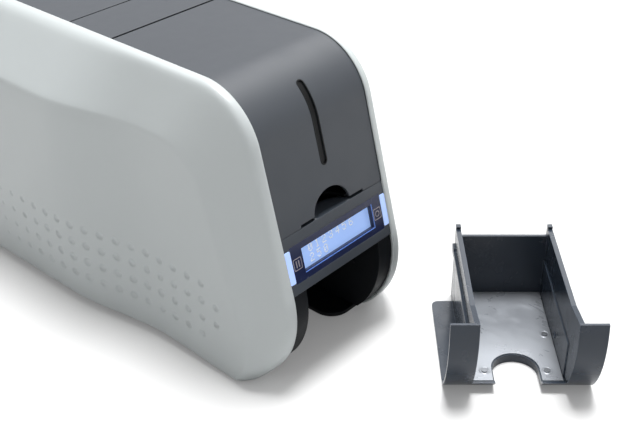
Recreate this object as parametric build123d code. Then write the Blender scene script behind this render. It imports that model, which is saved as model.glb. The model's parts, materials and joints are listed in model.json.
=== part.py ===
"""Desktop card printer with its card tray taken out and stood beside it.

The dark middle section sits between two white bulging side panels.  The front faces -Y and up is +Z.
The pieces are drawn about the middle of the printer, and at the end everything is moved so that the
origin lies on the desk under the middle of printer and tray together.  All lengths are millimetres.
"""
import os
from math import asin, cos, degrees, pi, radians, sin, sqrt

from build123d import *

# ---------------------------------------------------------------- overall size and side outline
WIDTH = 173.0
LENGTH = 368.0
HEIGHT = 205.0
CORE_WIDTH = 100.0
LEAN = 14.5  # degrees that the front leans back
NOSE_R = 69.0
NOSE_Z = 55.2
FRONT_TOP_R = 46.0
REAR_TOP_R = 24.0
REAR_FOOT_R = 10.0
CORE_FOOT_R = 3.0
TOE_R = 3.0
TOE_SLOPE = 45.0
TOE_GAP = 1.2  # the white panels end this high above the desk

# ---------------------------------------------------------------- white side panels
RIM_OUT = (0.0, 2.5, 6.0, 10.5)  # the rim and its roll: how far out from the core
RIM_INSET = (0.0, 0.0, 1.0, 4.5)  # and how far in from the outline
SIDE_BACK = (14.5, 4.0, 0.9, 0.0)  # the slope and the side: how far back from the outermost face
SIDE_INSET = (20.5, 38.0, 50.0, 60.0)
PANEL_WALL = 2.4
CREASE_INSET = 38.0
CREASE_REAR_INSET = 24.0
CREASE_LEAN = 24.6
CREASE_NOSE_BACK = 67.0  # centre of the crease's nose behind the front
CREASE_NOSE_Z = 52.0
CREASE_NOSE_R = 50.0
CREASE_TOP_R = 22.0
PANEL_FLOOR = 4.4
ARCH_Z = 3.2
ARCH_FRONT_SETBACK = 49.0
ARCH_REAR_SETBACK = 32.0
ARCH_SLOPE = 12.0
BOSS_R = 4.5
BOSS_OUT = 2.0  # the frames' bosses meet the panels' this far outside the core
FRONT_BOSS = (72.0, 132.0)  # from the front, z
MIDDLE_BOSS = (-20.0, 30.0)  # y, z
REAR_BOSSES = ((54.0, 150.0), (49.0, 28.0))  # from the back, z
SCREW_R = 1.5
SCREW_HEAD_R = 3.0
SCREW_HEAD_T = 1.5
SCREW_HOLD = 10.0
FOOT_R = 5.0
FOOT_OUT = 8.0
FRONT_FOOT_SETBACK = 40.0
REAR_FOOT_SETBACK = 20.0

# ---------------------------------------------------------------- walls and clearances
SKIN = 2.3
SKIRT = 2.2
SKIRT_DEPTH = 10.0
CORE_STEP = 0.8  # the dark covers lie this far below the white rims
SEAT_GAP = 0.3
MOVING_GAP = 0.4
FIXED_GAP = 0.2
RUN = 0.05
PLATE = 2.0
WELD = 0.5  # how far pieces of one moulding run into each other
OPEN = 9.0  # how far cutters reach past the surface

# ---------------------------------------------------------------- chassis and tray bay
CAVITY_REAR = -50.0
CAVITY_TOP = 72.8
CAVITY_SETBACK = 17.5
FRAME_T = 2.5
FLANGE_STEP = 2.2
FLANGE_T = 2.0
FLANGE_TOP = -0.3
RIB_DEPTH = 1.4
RIB_SETBACK = 24.0
BASE_Z = 2.5
BASE_T = 3.0
BASE_SETBACK = 27.0
FINGER_CUT = 17.0
FINGER_CORNER = 15.0
FINGER_DEPTH = 42.0
TRAY_SLOT = 3.1
CHUTE_BEND = 11.2
CHUTE_FRONT = -60.0
CHUTE_REAR = -38.0
CHUTE_SLOPE = 17.0
CHUTE_TOP = 108.5

# ---------------------------------------------------------------- covers
BAR_HEIGHT = 40.0
BAR_DEPTH = 14.0
FRONT_COVER_REAR = -23.0
BRIDGE_REAR = 21.4
LID_SETBACK = 26.0
WIDE_SEAM = 2.0
LID_SEAM = 1.2
HINGE_SETBACK = 21.0
HINGE_DROP = 7.5
SWING_GAP = 1.5
PIN_R = 1.5
EAR_R = 4.0
EAR_T = 3.0
EAR_GAP = 0.5
NOTCH_WIDTH = 35.0
NOTCH_HEIGHT = 15.5
SLOT_WIDTH = 61.0
SLOT_HEIGHT = 1.9
WINDOW_WIDTH = 4.4
WINDOW_X = 1.0
WINDOW_LOW = 72.1  # up the front from its foot
WINDOW_TURN = 49.3  # degrees round the top corner
WINDOW_SUNK = 0.7
WINDOW_T = 1.4
RELEASE_X = 28.0
RELEASE_Y = 10.0
RELEASE_SIZE = (12.0, 14.0)
RELEASE_TRAVEL = 2.0
RELEASE_PROUD = 0.6
RELEASE_CAP = 5.0
RELEASE_LIP = 1.0
RELEASE_WALL = 1.2

# ---------------------------------------------------------------- control bar
BUTTON_WIDTH = 4.6
BUTTON_INSET = 0.5
BUTTON_LOW = 8.2
BUTTON_HIGH = 30.8
BUTTON_SUNK = 0.4
BUTTON_T = 4.0
BUTTON_TRAVEL = 0.8
BUTTON_GAP = 0.15
BUTTON_CORNER = 0.8
BEZEL_GAP = 0.4
BEZEL_LOW = 6.6
BEZEL_HIGH = 32.4
BEZEL_T = 1.6
SCREEN_WIDTH = 69.0
SCREEN_LOW = 12.2
SCREEN_HIGH = 28.0
SCREEN_FRAME = 1.6
SCREEN_SUNK = 4.2
SCREEN_BACK = 9.0
BOARD_T = 1.6
DISPLAY_BOARD = (70.0, 8.0, 34.0)  # width, low and high edge
BAR_SOLE = 6.0
BAR_WALL = 2.4

# ---------------------------------------------------------------- card path
CARD_LENGTH = 85.6
CARD_WIDTH = 54.0
CARD_T = 0.8
CARD_PLAY = 1.2
CARD_Z = 112.5
GUIDE_T = 2.0
GUIDE_FRONT = -36.0
GUIDE_REAR = 100.0
RAIL_HEIGHT = 2.0
RAIL_REAR = 58.0
HOPPER_SETBACK = 18.0
HOPPER_REAR = -61.0
HOPPER_ROOM = 5.5
HOPPER_DROP = 19.0
HOPPER_LIP = 9.0
GATE_GAP = 1.4
ROLLER_Z = 106.3
ROLLER_R = 6.4
SHAFT_R = 2.0
SHAFT_END = 2.5
BUSH_R = 4.0
BUSH_COLLAR = 0.8
PICK_Y = -85.0
FEED_Y = -8.0
PLATEN_Y = 72.0
PICK_WIDTH = 24.0
FEED_WIDTH = 56.0
PINCH_R = 5.0
PINCH_WIDTH = 52.0
PINCH_SHAFT_R = 1.5
PINCH_CHEEK = 31.0
GATE_Y = -57.0
GATE_R = 1.5
GATE_LENGTH = 18.5
GATE_T = 1.3
WEIGHT_T = 3.0
WEIGHT_SLOT_Y = -105.0
WEIGHT_SLOT = 7.0
WEIGHT_TAB = 33.0
WEIGHT_LIFT = 50.0

# ---------------------------------------------------------------- gears, outside the right frame
MODULE = 1.0
ROLLER_TEETH = 20
PINION_TEETH = 12
ADDENDUM = 0.75
DEDENDUM = 1.1
TOOTH_ROOT, TOOTH_PITCH, TOOTH_TIP = 0.27, 0.2, 0.1  # half widths in parts of the pitch
GEAR_T = 5.0
GEAR_GAP = 4.0
HUB_R = 3.0
WEB_HOLES = 5
MOTOR_SIZE = 35.0
MOTOR_LENGTH = 27.0
MOTOR_CORNER = 5.0
MOTOR_PILOT_R = 11.0
MOTOR_SHAFT_R = 2.5

# ---------------------------------------------------------------- ribbon and print head, in the lid
TAKE_UP_Y = 48.0
TAKE_UP_DROP = 43.0
SUPPLY_Y = 110.0
SUPPLY_DROP = 45.0
SPOOL_FLANGE_R = 14.0
SPOOL_CORE_R = 6.0
SPOOL_JOURNAL_R = 3.0
SPOOL_WIDTH = 59.0
SPOOL_FLANGE_T = 1.5
SUPPLY_ROLL_R = 13.0
TAKE_UP_ROLL_R = 8.5
CASSETTE_FRONT = 36.0
CASSETTE_REAR = 126.0
CASSETTE_DROP = 55.0
CASSETTE_T = 2.0
CASSETTE_X = 31.0
TIE_R = 2.5
TIE_DROP = 15.0
HEAD_GAP = 0.4
HEAD_FRONT = 66.0
HEAD_LENGTH = 12.0
HEAD_HEIGHT = 6.0
HEAD_WIDTH = 58.0

# ---------------------------------------------------------------- rear and boards
BOARD_Z = 14.0
BOARD_FRONT = 62.0
BOARD_SETBACK = 12.0
BOARD_WIDTH = 64.0
CHIPS = ((-12.0, 30.0, 16.0, 16.0), (14.0, 34.0, 14.0, 10.0), (-16.0, 60.0, 10.0, 12.0))  # x, along, sizes
CHIP_T = 1.8
PLUGS = ((8.0, 8.0, 24.0, 6.0), (-22.0, 46.0, 6.0, 14.0))  # x, along the board, width, depth
PLUG_T = 7.5
CAPACITORS = ((12.0, 56.0), (24.0, 56.0), (24.0, 68.0))
CAPACITOR_R = 4.0
CAPACITOR_T = 12.0
STANDOFF_R = 3.0
STANDOFFS = ((-27.0, 6.0), (27.0, 6.0), (-27.0, 84.0), (27.0, 84.0))  # x, along the board
PORTS = ((-25.0, 14.0, 13.0), (-3.0, 12.0, 11.0), (20.0, 16.5, 13.5))  # power, data and network
PORT_DEPTH = 14.0
PORT_WALL = 1.4
PORT_FLOOR = 4.0
VENTS = 11
VENT_PITCH = 6.0
VENT_WIDTH = 2.6
VENT_LOW = 104.0
VENT_HIGH = 148.0
SWITCH_X = 24.0
SWITCH_SETBACK = 6.0
SWITCH_Z = 62.0
SWITCH_SIZE = (12.0, 18.0)
SWITCH_DEPTH = 5.6
SWITCH_DISH = 1.4
SWITCH_TILT = 6.0
SWITCH_WALL = 2.0
SWITCH_PIN_R = 1.2
CROSS_SETBACK = 34.0
CROSS_LOW = 60.0
CROSS_DROP = 37.0

# ---------------------------------------------------------------- card tray
TRAY_X, TRAY_Y, TRAY_TURN = 33.0, -305.0, -49.0
TRAY_SIDE_GAP = 0.3
TRAY_HEIGHT = 65.5
TRAY_SKIN = 1.8
TRAY_GAP = 0.2
TRAY_LIFT = 0.5  # docked, it stands this far above the base plate
TRAY_PLATE_END = 111.0
TRAY_PLATE_R = 5.0
TRAY_BOTTOM_R = 12.0
CHANNEL_WIDTH = 62.0
CHANNEL_WALL = 3.4
CHANNEL_END = 118.0
CHANNEL_FLOOR = 6.2
BACK_TOP = 56.0
BACK_T = 2.4
WALL_TOP = 60.5
POST_END = 121.5
POST_TOP = 62.5
KINK = 27.0
STEP_Z = 35.0
STEP = 0.7
STEP_FRONT = 20.0
TRAY_RAIL = (42.0, 46.0)
TRAY_RAIL_T = 1.8
TRAY_BLOCK = (112.0, 120.0)
TRAY_BOSS = (56.0, 13.6, 2.2)  # y, z and radius
TRAY_NOTCH = 15.5
TRAY_NOTCH_DEEP = 28.0
TRAY_LIP = 8.0
LINER_T = 0.8
LINER_FRONT = 16.0
TRAY_SCREWS = ((-21.0, 26.0), (21.0, 26.0), (25.5, 65.0))
TRAY_SCREW_R = 2.2
TRAY_SCREW_T = 0.7
TRAY_SHANK_R = 1.1

# ---------------------------------------------------------------- sizes that follow
FRONT_Y, REAR_Y = -LENGTH / 2, LENGTH / 2
HALF = WIDTH / 2
CORE_HALF = CORE_WIDTH / 2
CHANNEL_HALF = CHANNEL_WIDTH / 2
CHANNEL_OUT = CHANNEL_HALF + CHANNEL_WALL
CAVITY_HALF = CHANNEL_OUT + TRAY_RAIL_T + SEAT_GAP
FRAME_OUT = CAVITY_HALF + FRAME_T
COVER_HALF = CORE_HALF - MOVING_GAP
FIXED_HALF = CORE_HALF - FIXED_GAP
NOSE_Y = FRONT_Y + NOSE_R
BULGE = HALF - CORE_HALF
SHOULDER = [*zip(RIM_OUT, RIM_INSET), *zip([BULGE - back for back in SIDE_BACK], SIDE_INSET)]
CREASE_NOSE_Y = FRONT_Y + CREASE_NOSE_BACK
ARCH_FRONT = FRONT_Y + ARCH_FRONT_SETBACK
ARCH_REAR = REAR_Y - ARCH_REAR_SETBACK
BOSS_SEAT = CORE_HALF + BOSS_OUT
PANEL_BOSSES = [(FRONT_Y + FRONT_BOSS[0], FRONT_BOSS[1]), MIDDLE_BOSS]
PANEL_BOSSES += [(REAR_Y - setback, z) for setback, z in REAR_BOSSES]
BASE_TOP = BASE_Z + BASE_T
MOVING_INSET = CORE_STEP + SKIN
FIXED_INSET = MOVING_INSET + SEAT_GAP  # fixed covers are thicker by the gap and touch the frames
SKIRT_INSET = CORE_STEP + SKIRT_DEPTH
CAVITY_FRONT = FRONT_Y + CAVITY_SETBACK
RIB_FRONT = FRONT_Y + RIB_SETBACK
BASE_FRONT = FRONT_Y + BASE_SETBACK
BASE_REAR = REAR_Y - FIXED_INSET - CORE_FOOT_R - FIXED_GAP
BRIDGE_FRONT = FRONT_COVER_REAR + WIDE_SEAM
LID_FRONT = BRIDGE_REAR + LID_SEAM
LID_REAR = REAR_Y - LID_SETBACK
REAR_PANEL_FRONT = LID_REAR + WIDE_SEAM
BUTTON_OUT = CORE_HALF - BUTTON_INSET
BEZEL_WIDTH = 2 * (BUTTON_OUT - BUTTON_WIDTH - BEZEL_GAP)
HINGE_Z = HEIGHT - HINGE_DROP
FRONT_HINGE_Y = FRONT_COVER_REAR - HINGE_SETBACK
LID_HINGE_Y = LID_REAR - HINGE_SETBACK
EAR_OUT = CAVITY_HALF - EAR_GAP
CARD_HALF = (CARD_WIDTH + CARD_PLAY) / 2
GUIDE_Z = CARD_Z - GUIDE_T
HOPPER_FRONT = FRONT_Y + HOPPER_SETBACK
HOPPER_TOP = HEIGHT - HOPPER_DROP
TAKE_UP = (TAKE_UP_Y, HEIGHT - TAKE_UP_DROP)
SUPPLY = (SUPPLY_Y, HEIGHT - SUPPLY_DROP)
CASSETTE_LOW = HEIGHT - CASSETTE_DROP
TIE_Z = HEIGHT - TIE_DROP
BOARD_REAR = REAR_Y - BOARD_SETBACK
SWITCH_Y = REAR_Y - SWITCH_SETBACK
CROSS_Y = REAR_Y - CROSS_SETBACK
CROSS_HIGH = HEIGHT - CROSS_DROP
TRAY_WIDTH = CORE_WIDTH - 2 * TRAY_SIDE_GAP
LIP_Y = HOPPER_REAR - CARD_LENGTH - CARD_PLAY
GATE_BOTTOM = CARD_Z + GATE_GAP
GEAR_X = FRAME_OUT + GEAR_GAP
GEAR_END = GEAR_X + GEAR_T
PINCH_Z = CARD_Z + CARD_T + 2 * RUN + PINCH_R
HEAD_Z = ROLLER_Z + ROLLER_R + CARD_T + HEAD_GAP
UP = (sin(radians(LEAN)), cos(radians(LEAN)))
INTO = (cos(radians(LEAN)), -sin(radians(LEAN)))
FRONT_FOOT = (NOSE_Y - NOSE_R * INTO[0], NOSE_Z - NOSE_R * INTO[1])
FRONT_TOP_Z = HEIGHT - FRONT_TOP_R
FRONT_PLANE = Plane(origin=(0, *FRONT_FOOT), x_dir=(1, 0, 0), z_dir=(0, -INTO[0], -INTO[1]))
COVER_TOP = HEIGHT - CORE_STEP
COVER_UNDER = HEIGHT - MOVING_INSET
FRONT_IDLER_Y = (PICK_Y + FEED_Y) / 2
REAR_IDLER_Y = (FEED_Y + PLATEN_Y) / 2
FRONT_IDLER_TEETH = round((FEED_Y - PICK_Y) / MODULE) - ROLLER_TEETH
REAR_IDLER_TEETH = round((PLATEN_Y - FEED_Y) / MODULE) - ROLLER_TEETH
MOTOR_Y = REAR_IDLER_Y
MOTOR_Z = ROLLER_Z - MODULE * (REAR_IDLER_TEETH + PINION_TEETH) / 2
TRAY_LOW = BASE_TOP + TRAY_LIFT
TRAY_R = NOSE_R - TRAY_GAP
TRAY_CZ = NOSE_Z - TRAY_LOW
TRAY_CY = sqrt(TRAY_R**2 - (TRAY_HEIGHT - TRAY_CZ) ** 2)


# ================================================================ helpers
def block(x0, x1, y0, y1, z0, z1):
    """A box between two corners."""
    return Pos((x0 + x1) / 2, (y0 + y1) / 2, (z0 + z1) / 2) * Box(abs(x1 - x0), abs(y1 - y0), abs(z1 - z0))


def rod(x0, x1, y, z, radius):
    """A round bar along X."""
    return Pos((x0 + x1) / 2, y, z) * Rot(0, 90, 0) * Cylinder(radius, abs(x1 - x0))


def post(x, y, z0, z1, radius):
    """A round bar along Z."""
    return Pos(x, y, (z0 + z1) / 2) * Cylinder(radius, z1 - z0)


def polygon(*points):
    """A flat face through (y, z) points of the side view."""
    return make_face(Polyline(*points, close=True))


def rectangle(y0, y1, z0, z1):
    """A rectangle of the side view."""
    return polygon((y0, z0), (y1, z0), (y1, z1), (y0, z1))


def disc(y, z, radius):
    """A circle of the side view."""
    return Pos(y, z) * Circle(radius)


def bent_strip(points, thickness):
    """A side-view sheet of even thickness, laid to the left of a bent line."""
    far = []
    for i, (y, z) in enumerate(points):
        normals = []
        for a, b in ((i - 1, i), (i, i + 1)):
            if a >= 0 and b < len(points):
                dy, dz = points[b][0] - points[a][0], points[b][1] - points[a][1]
                size = sqrt(dy * dy + dz * dz)
                normals.append((-dz / size, dy / size))
        ny, nz = sum(n[0] for n in normals), sum(n[1] for n in normals)
        scale = thickness * len(normals) / (ny * ny + nz * nz)
        far.append((y + ny * scale, z + nz * scale))
    return polygon(*points, *reversed(far))


def slab(face, x0, x1):
    """A side-view face, drawn as (y, z), made solid between two X positions."""
    return extrude(Plane.YZ.offset(x0) * face, x1 - x0)


def both(shape):
    """The shape and its mirror image across the middle of the printer."""
    return Part() + [shape, mirror(shape, Plane.YZ)]


def front_point(rise, depth=0.0):
    """The side-view point this far up the leaning front and this deep behind it."""
    return (FRONT_FOOT[0] + rise * UP[0] + depth * INTO[0], FRONT_FOOT[1] + rise * UP[1] + depth * INTO[1])


def front_patch(low, high, near, far):
    """A side-view rectangle laid along the leaning front."""
    corners = ((low, near), (high, near), (high, far), (low, far))
    return polygon(*[front_point(rise, depth) for rise, depth in corners])


def front_prism(sketch, near, far):
    """A sketch seen from the front, as (x, rise), made solid between two depths."""
    return extrude(FRONT_PLANE.offset(-near) * sketch, near - far)


def front_window(width, low, high, near, far):
    """A centred rectangle on the leaning front, made solid between two depths."""
    return front_prism(Pos(0, (low + high) / 2) * Rectangle(width, high - low), near, far)


def crossing(one, two):
    """Where two side-view lines (ny, nz, distance) meet."""
    det = one[0] * two[1] - two[0] * one[1]
    return ((one[2] * two[1] - two[2] * one[1]) / det, (one[0] * two[2] - two[0] * one[2]) / det)


def outline(top, rear, bottom, lean, nose, radii):
    """A side view of the printer: roof, leaning front, round nose, toe, floor and back."""
    nose_y, nose_z, nose_r = nose
    foot_r, rear_r, front_r, toe_r = radii
    c, s = cos(radians(lean)), sin(radians(lean))
    tc, ts = cos(radians(TOE_SLOPE)), sin(radians(TOE_SLOPE))
    front = (-c, s, nose_r - c * nose_y + s * nose_z)
    toe = (-tc, -ts, nose_r - tc * nose_y - ts * nose_z)
    roof, floor, back = (0, 1, top), (0, 1, bottom), (1, 0, rear)
    corners = [crossing(back, floor), crossing(back, roof), crossing(roof, front)]
    corners += [crossing(front, toe), crossing(toe, floor)]
    return make_face(FilletPolyline(*corners, radius=[foot_r, rear_r, front_r, nose_r, toe_r], close=True))


def core_face(inset):
    """The side view of the dark middle section, moved inwards by an inset."""
    radii = (CORE_FOOT_R, REAR_TOP_R - inset, FRONT_TOP_R - inset, TOE_R)
    nose = (NOSE_Y, NOSE_Z, NOSE_R - inset)
    return outline(HEIGHT - inset, REAR_Y - inset, BASE_Z, LEAN, nose, radii)


def band(outer, inner, region):
    """The strip of the core's side view between two insets, kept inside a region."""
    return (core_face(outer) - core_face(inner)) & region


# ================================================================ white side panels
def panel_section(out, inset, extra):
    """One side view of a panel, this far out from the core and this far in from the outline."""
    share = inset / CREASE_INSET
    turn = min(share, 1.0)
    lean = LEAN + (CREASE_LEAN - LEAN) * turn
    nose_y = NOSE_Y + (CREASE_NOSE_Y - NOSE_Y) * turn
    nose_z = NOSE_Z + (CREASE_NOSE_Z - NOSE_Z) * turn
    nose_r = NOSE_R + (CREASE_NOSE_R - NOSE_R) * share - extra
    front_r = max(FRONT_TOP_R + (CREASE_TOP_R - FRONT_TOP_R) * share - extra, TOE_R)
    rear = REAR_Y - extra - CREASE_REAR_INSET * share
    floor = TOE_GAP + (PANEL_FLOOR if extra else 0.0)
    radii = (REAR_FOOT_R - extra, REAR_TOP_R - extra, front_r, TOE_R)
    face = outline(HEIGHT - inset - extra, rear, floor, lean, (nose_y, nose_z, nose_r), radii)
    return Plane.YZ.offset(CORE_HALF + out) * face


def panel_body(wall):
    """The bulging panel as a full body; with a wall it is the smaller body that hollows it."""
    faces = []
    last = len(SHOULDER) - 1
    for i, (out, inset) in enumerate(SHOULDER):
        before, after = SHOULDER[max(i - 1, 0)], SHOULDER[min(i + 1, last)]
        run, drop = after[0] - before[0], after[1] - before[1]
        size = sqrt(run * run + drop * drop)
        inwards = wall * drop / size if i else wall / 4
        faces.append(panel_section(out - inwards, inset, wall * run / size))
    return loft(faces)


def side_panel():
    """The right panel: a bulging shell with four screw bosses and an arched lower edge."""
    outer = panel_body(0.0)
    shell = outer - panel_body(PANEL_WALL)
    for y, z in PANEL_BOSSES:
        shell += rod(BOSS_SEAT, HALF, y, z, BOSS_R) & outer
        shell -= rod(BOSS_SEAT - 1, BOSS_SEAT + SCREW_HOLD, y, z, SCREW_R)
    arch = polygon(
        (ARCH_FRONT, 0), (ARCH_FRONT + ARCH_SLOPE, ARCH_Z), (ARCH_REAR - ARCH_SLOPE, ARCH_Z), (ARCH_REAR, 0)
    )
    return shell - slab(arch, CORE_HALF - 1, HALF + 1)


def rubber_feet():
    """Four thin pads under the toes of the panels."""
    places = (FRONT_Y + FRONT_FOOT_SETBACK, REAR_Y - REAR_FOOT_SETBACK)
    return both(Part() + [post(CORE_HALF + FOOT_OUT, y, 0, TOE_GAP, FOOT_R) for y in places])


def panel_screws():
    """The screws that hold the panels, put in from inside the frames."""
    screws = []
    for y, z in PANEL_BOSSES:
        screw = rod(CAVITY_HALF - SCREW_HEAD_T, CAVITY_HALF, y, z, SCREW_HEAD_R)
        screws.append(screw + rod(CAVITY_HALF, BOSS_SEAT + SCREW_HOLD, y, z, SCREW_R))
    return both(Part() + screws)


# ================================================================ chassis
def swing_room(hinge_y):
    """The part of a frame that the rear edge of a cover swings through."""
    reach = HINGE_SETBACK + SWING_GAP
    room = disc(hinge_y, HINGE_Z, reach)
    room &= rectangle(hinge_y, hinge_y + reach, HINGE_Z - reach, HINGE_Z + reach)
    room -= disc(hinge_y, HINGE_Z, EAR_R)
    return room - rectangle(hinge_y - 1, hinge_y + EAR_R, HINGE_Z - reach - 1, HINGE_Z)


def side_frame(driven):
    """The right frame: a plate with a rounded flange at the nose, bosses and bearing holes."""
    slot_top = BASE_TOP + TRAY_SLOT
    plate = core_face(FIXED_INSET)
    plate -= front_patch(0, BAR_HEIGHT, -OPEN, BAR_DEPTH)
    plate -= rectangle(-LENGTH, LENGTH, 0, BASE_TOP)
    plate -= rectangle(-LENGTH, CAVITY_REAR - PLATE, 0, slot_top)
    for y in (FRONT_HINGE_Y, LID_HINGE_Y):
        plate -= swing_room(y)
        plate -= disc(y, HINGE_Z, PIN_R)
    body = slab(plate, CAVITY_HALF, FRAME_OUT)
    high, inner = front_point(FLANGE_TOP, -OPEN), front_point(FLANGE_TOP, NOSE_R / 2)
    nose = polygon(high, inner, (NOSE_Y, slot_top), (-LENGTH, slot_top))
    body += slab(band(FLANGE_STEP, FLANGE_STEP + FLANGE_T, nose), CAVITY_HALF, FIXED_HALF)
    rib_top = TRAY_LOW + TRAY_RAIL[0] - SEAT_GAP
    rib = rectangle(RIB_FRONT, CAVITY_REAR - PLATE, rib_top - PLATE, rib_top)
    body += slab(rib, CAVITY_HALF - RIB_DEPTH, CAVITY_HALF + WELD)
    for y, z in PANEL_BOSSES:
        body += rod(CAVITY_HALF, BOSS_SEAT, y, z, BOSS_R)
        body -= rod(CAVITY_HALF - 1, BOSS_SEAT + 1, y, z, SCREW_R)
    for y in (PICK_Y, FEED_Y, PLATEN_Y):
        body -= rod(CAVITY_HALF - 1, FRAME_OUT + 1, y, ROLLER_Z, BUSH_R)
    body -= rod(CAVITY_HALF - 1, FRAME_OUT + 1, GATE_Y, GUIDE_Z, GATE_R + RUN)
    if driven:
        body -= rod(CAVITY_HALF - 1, FRAME_OUT + 1, MOTOR_Y, MOTOR_Z, MOTOR_PILOT_R)
        for y in (FRONT_IDLER_Y, REAR_IDLER_Y):
            body += rod(FRAME_OUT - WELD, GEAR_END + 1, y, ROLLER_Z, HUB_R)
    return body


def base_plate():
    """The floor, with a finger cut between the two tongues that carry the tray."""
    straight = FINGER_DEPTH - FINGER_CUT
    plate = Pos(0, (BASE_FRONT + BASE_REAR) / 2) * Rectangle(2 * FIXED_HALF, BASE_REAR - BASE_FRONT)
    plate -= Pos(0, BASE_FRONT + straight / 2) * Rectangle(2 * FINGER_CUT, straight)
    plate -= Pos(0, BASE_FRONT + straight) * Circle(FINGER_CUT)
    mouth = [v for v in plate.vertices() if abs(v.Y - BASE_FRONT) < WELD and abs(v.X) < FINGER_CUT + 1]
    return extrude(Pos(0, 0, BASE_Z) * fillet(mouth, FINGER_CORNER), BASE_T)


def board_standoffs():
    """The four posts between the floor and the control board."""
    return Part() + [post(x, BOARD_FRONT + along, BASE_TOP, BOARD_Z, STANDOFF_R) for x, along in STANDOFFS]


def rear_panel():
    """The dark back, wrapped over the rear top corner, with vents and cut-outs for the ports."""
    region = rectangle(REAR_PANEL_FRONT, LENGTH, 0, HEIGHT + OPEN)
    body = slab(band(CORE_STEP, FIXED_INSET, region), -FIXED_HALF, FIXED_HALF)
    half, tall = SWITCH_SIZE[0] / 2 + SEAT_GAP, SWITCH_SIZE[1] / 2 + SEAT_GAP
    depth, wall = SWITCH_Y - SWITCH_DEPTH, SWITCH_WALL
    box = rectangle(depth - wall, REAR_Y - FIXED_INSET, SWITCH_Z - tall - wall, SWITCH_Z + tall + wall)
    body += slab(box, SWITCH_X - half - wall, SWITCH_X + half + wall)
    body -= block(SWITCH_X - half, SWITCH_X + half, depth, LENGTH, SWITCH_Z - tall, SWITCH_Z + tall)
    body -= rod(SWITCH_X - half - 1, SWITCH_X + half + 1, SWITCH_Y, SWITCH_Z, SWITCH_PIN_R + RUN)
    for i in range(VENTS):
        x = (i - (VENTS - 1) / 2) * VENT_PITCH
        body -= block(x - VENT_WIDTH / 2, x + VENT_WIDTH / 2, REAR_PANEL_FRONT, LENGTH, VENT_LOW, VENT_HIGH)
    for port in PORTS:
        body -= port_block(port, 0.0)
    return body


def port_block(port, wall):
    """The space a port takes in the rear panel; with a wall, the pocket inside the port."""
    x, width, height = port
    rear = REAR_Y - CORE_STEP
    low = BOARD_Z + BOARD_T
    front = rear - PORT_DEPTH + (PORT_FLOOR if wall else 0.0)
    half = width / 2 - wall
    return block(x - half, x + half, front, rear + wall, low + wall, low + height - wall)


def port(spec):
    """A socket with an open rear and a contact tongue."""
    x, _, height = spec
    rear = REAR_Y - CORE_STEP
    middle = BOARD_Z + BOARD_T + height / 2
    body = port_block(spec, 0.0) - port_block(spec, PORT_WALL)
    half = 2 * PORT_WALL
    return body + block(x - half, x + half, rear - PORT_DEPTH, rear - PORT_WALL, middle, middle + 1)


def rear_crossmember():
    """A plate that ties the two frames together at the back."""
    plate = block(-CAVITY_HALF, CAVITY_HALF, CROSS_Y, CROSS_Y + PLATE, CROSS_LOW, CROSS_HIGH)
    for z in (CROSS_LOW + CAVITY_HALF, CROSS_HIGH - CAVITY_HALF):
        plate -= Pos(0, CROSS_Y + PLATE / 2, z) * Rot(90, 0, 0) * Cylinder(CAVITY_HALF / 2, 2 * PLATE)
    return plate


def power_switch():
    """A rocker tilted to its off side."""
    reach, tall = SWITCH_SETBACK - CORE_STEP, SWITCH_SIZE[1] / 2
    face = polygon(
        (SWITCH_Y - 2, SWITCH_Z - tall / 2),
        (SWITCH_Y + reach - SWITCH_DISH, SWITCH_Z - tall + SWITCH_PIN_R / 2),
        (SWITCH_Y + reach, SWITCH_Z - tall + SWITCH_PIN_R / 2),
        (SWITCH_Y + reach - SWITCH_DISH, SWITCH_Z),
        (SWITCH_Y + reach, SWITCH_Z + tall - SWITCH_PIN_R / 2),
        (SWITCH_Y + reach - SWITCH_DISH, SWITCH_Z + tall - SWITCH_PIN_R / 2),
        (SWITCH_Y - 2, SWITCH_Z + tall / 2),
    )
    half = SWITCH_SIZE[0] / 2
    body = slab(face, SWITCH_X - half, SWITCH_X + half)
    body += rod(SWITCH_X - half - 1, SWITCH_X + half + 1, SWITCH_Y, SWITCH_Z, SWITCH_PIN_R)
    return body.rotate(Axis((SWITCH_X, SWITCH_Y, SWITCH_Z), (1, 0, 0)), -SWITCH_TILT)


# ================================================================ covers
def hinged_cover(region, hinge_y):
    """A cover skin with side skirts and two hinge ears."""
    body = slab(band(CORE_STEP, MOVING_INSET, region), -COVER_HALF, COVER_HALF)
    ear = disc(hinge_y, HINGE_Z, EAR_R)
    ear += rectangle(hinge_y - EAR_R, hinge_y + EAR_R, HINGE_Z, COVER_UNDER + WELD)
    ear -= disc(hinge_y, HINGE_Z, PIN_R + RUN)
    skirt = slab(band(CORE_STEP, SKIRT_INSET, region), COVER_HALF - SKIRT, COVER_HALF)
    return body + both(skirt) + both(slab(ear, EAR_OUT - EAR_T, EAR_OUT))


def window_region():
    """The strip of the side view that the level window takes up."""
    rise = (FRONT_TOP_Z - FRONT_FOOT[1] - FRONT_TOP_R * INTO[1]) / UP[1]
    corner = front_point(rise, FRONT_TOP_R)
    turn = radians(WINDOW_TURN)
    top = (corner[0] - 2 * FRONT_TOP_R * cos(turn), corner[1] + 2 * FRONT_TOP_R * sin(turn))
    return polygon(front_point(WINDOW_LOW, -FRONT_TOP_R), front_point(WINDOW_LOW, FRONT_TOP_R), corner, top)


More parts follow.
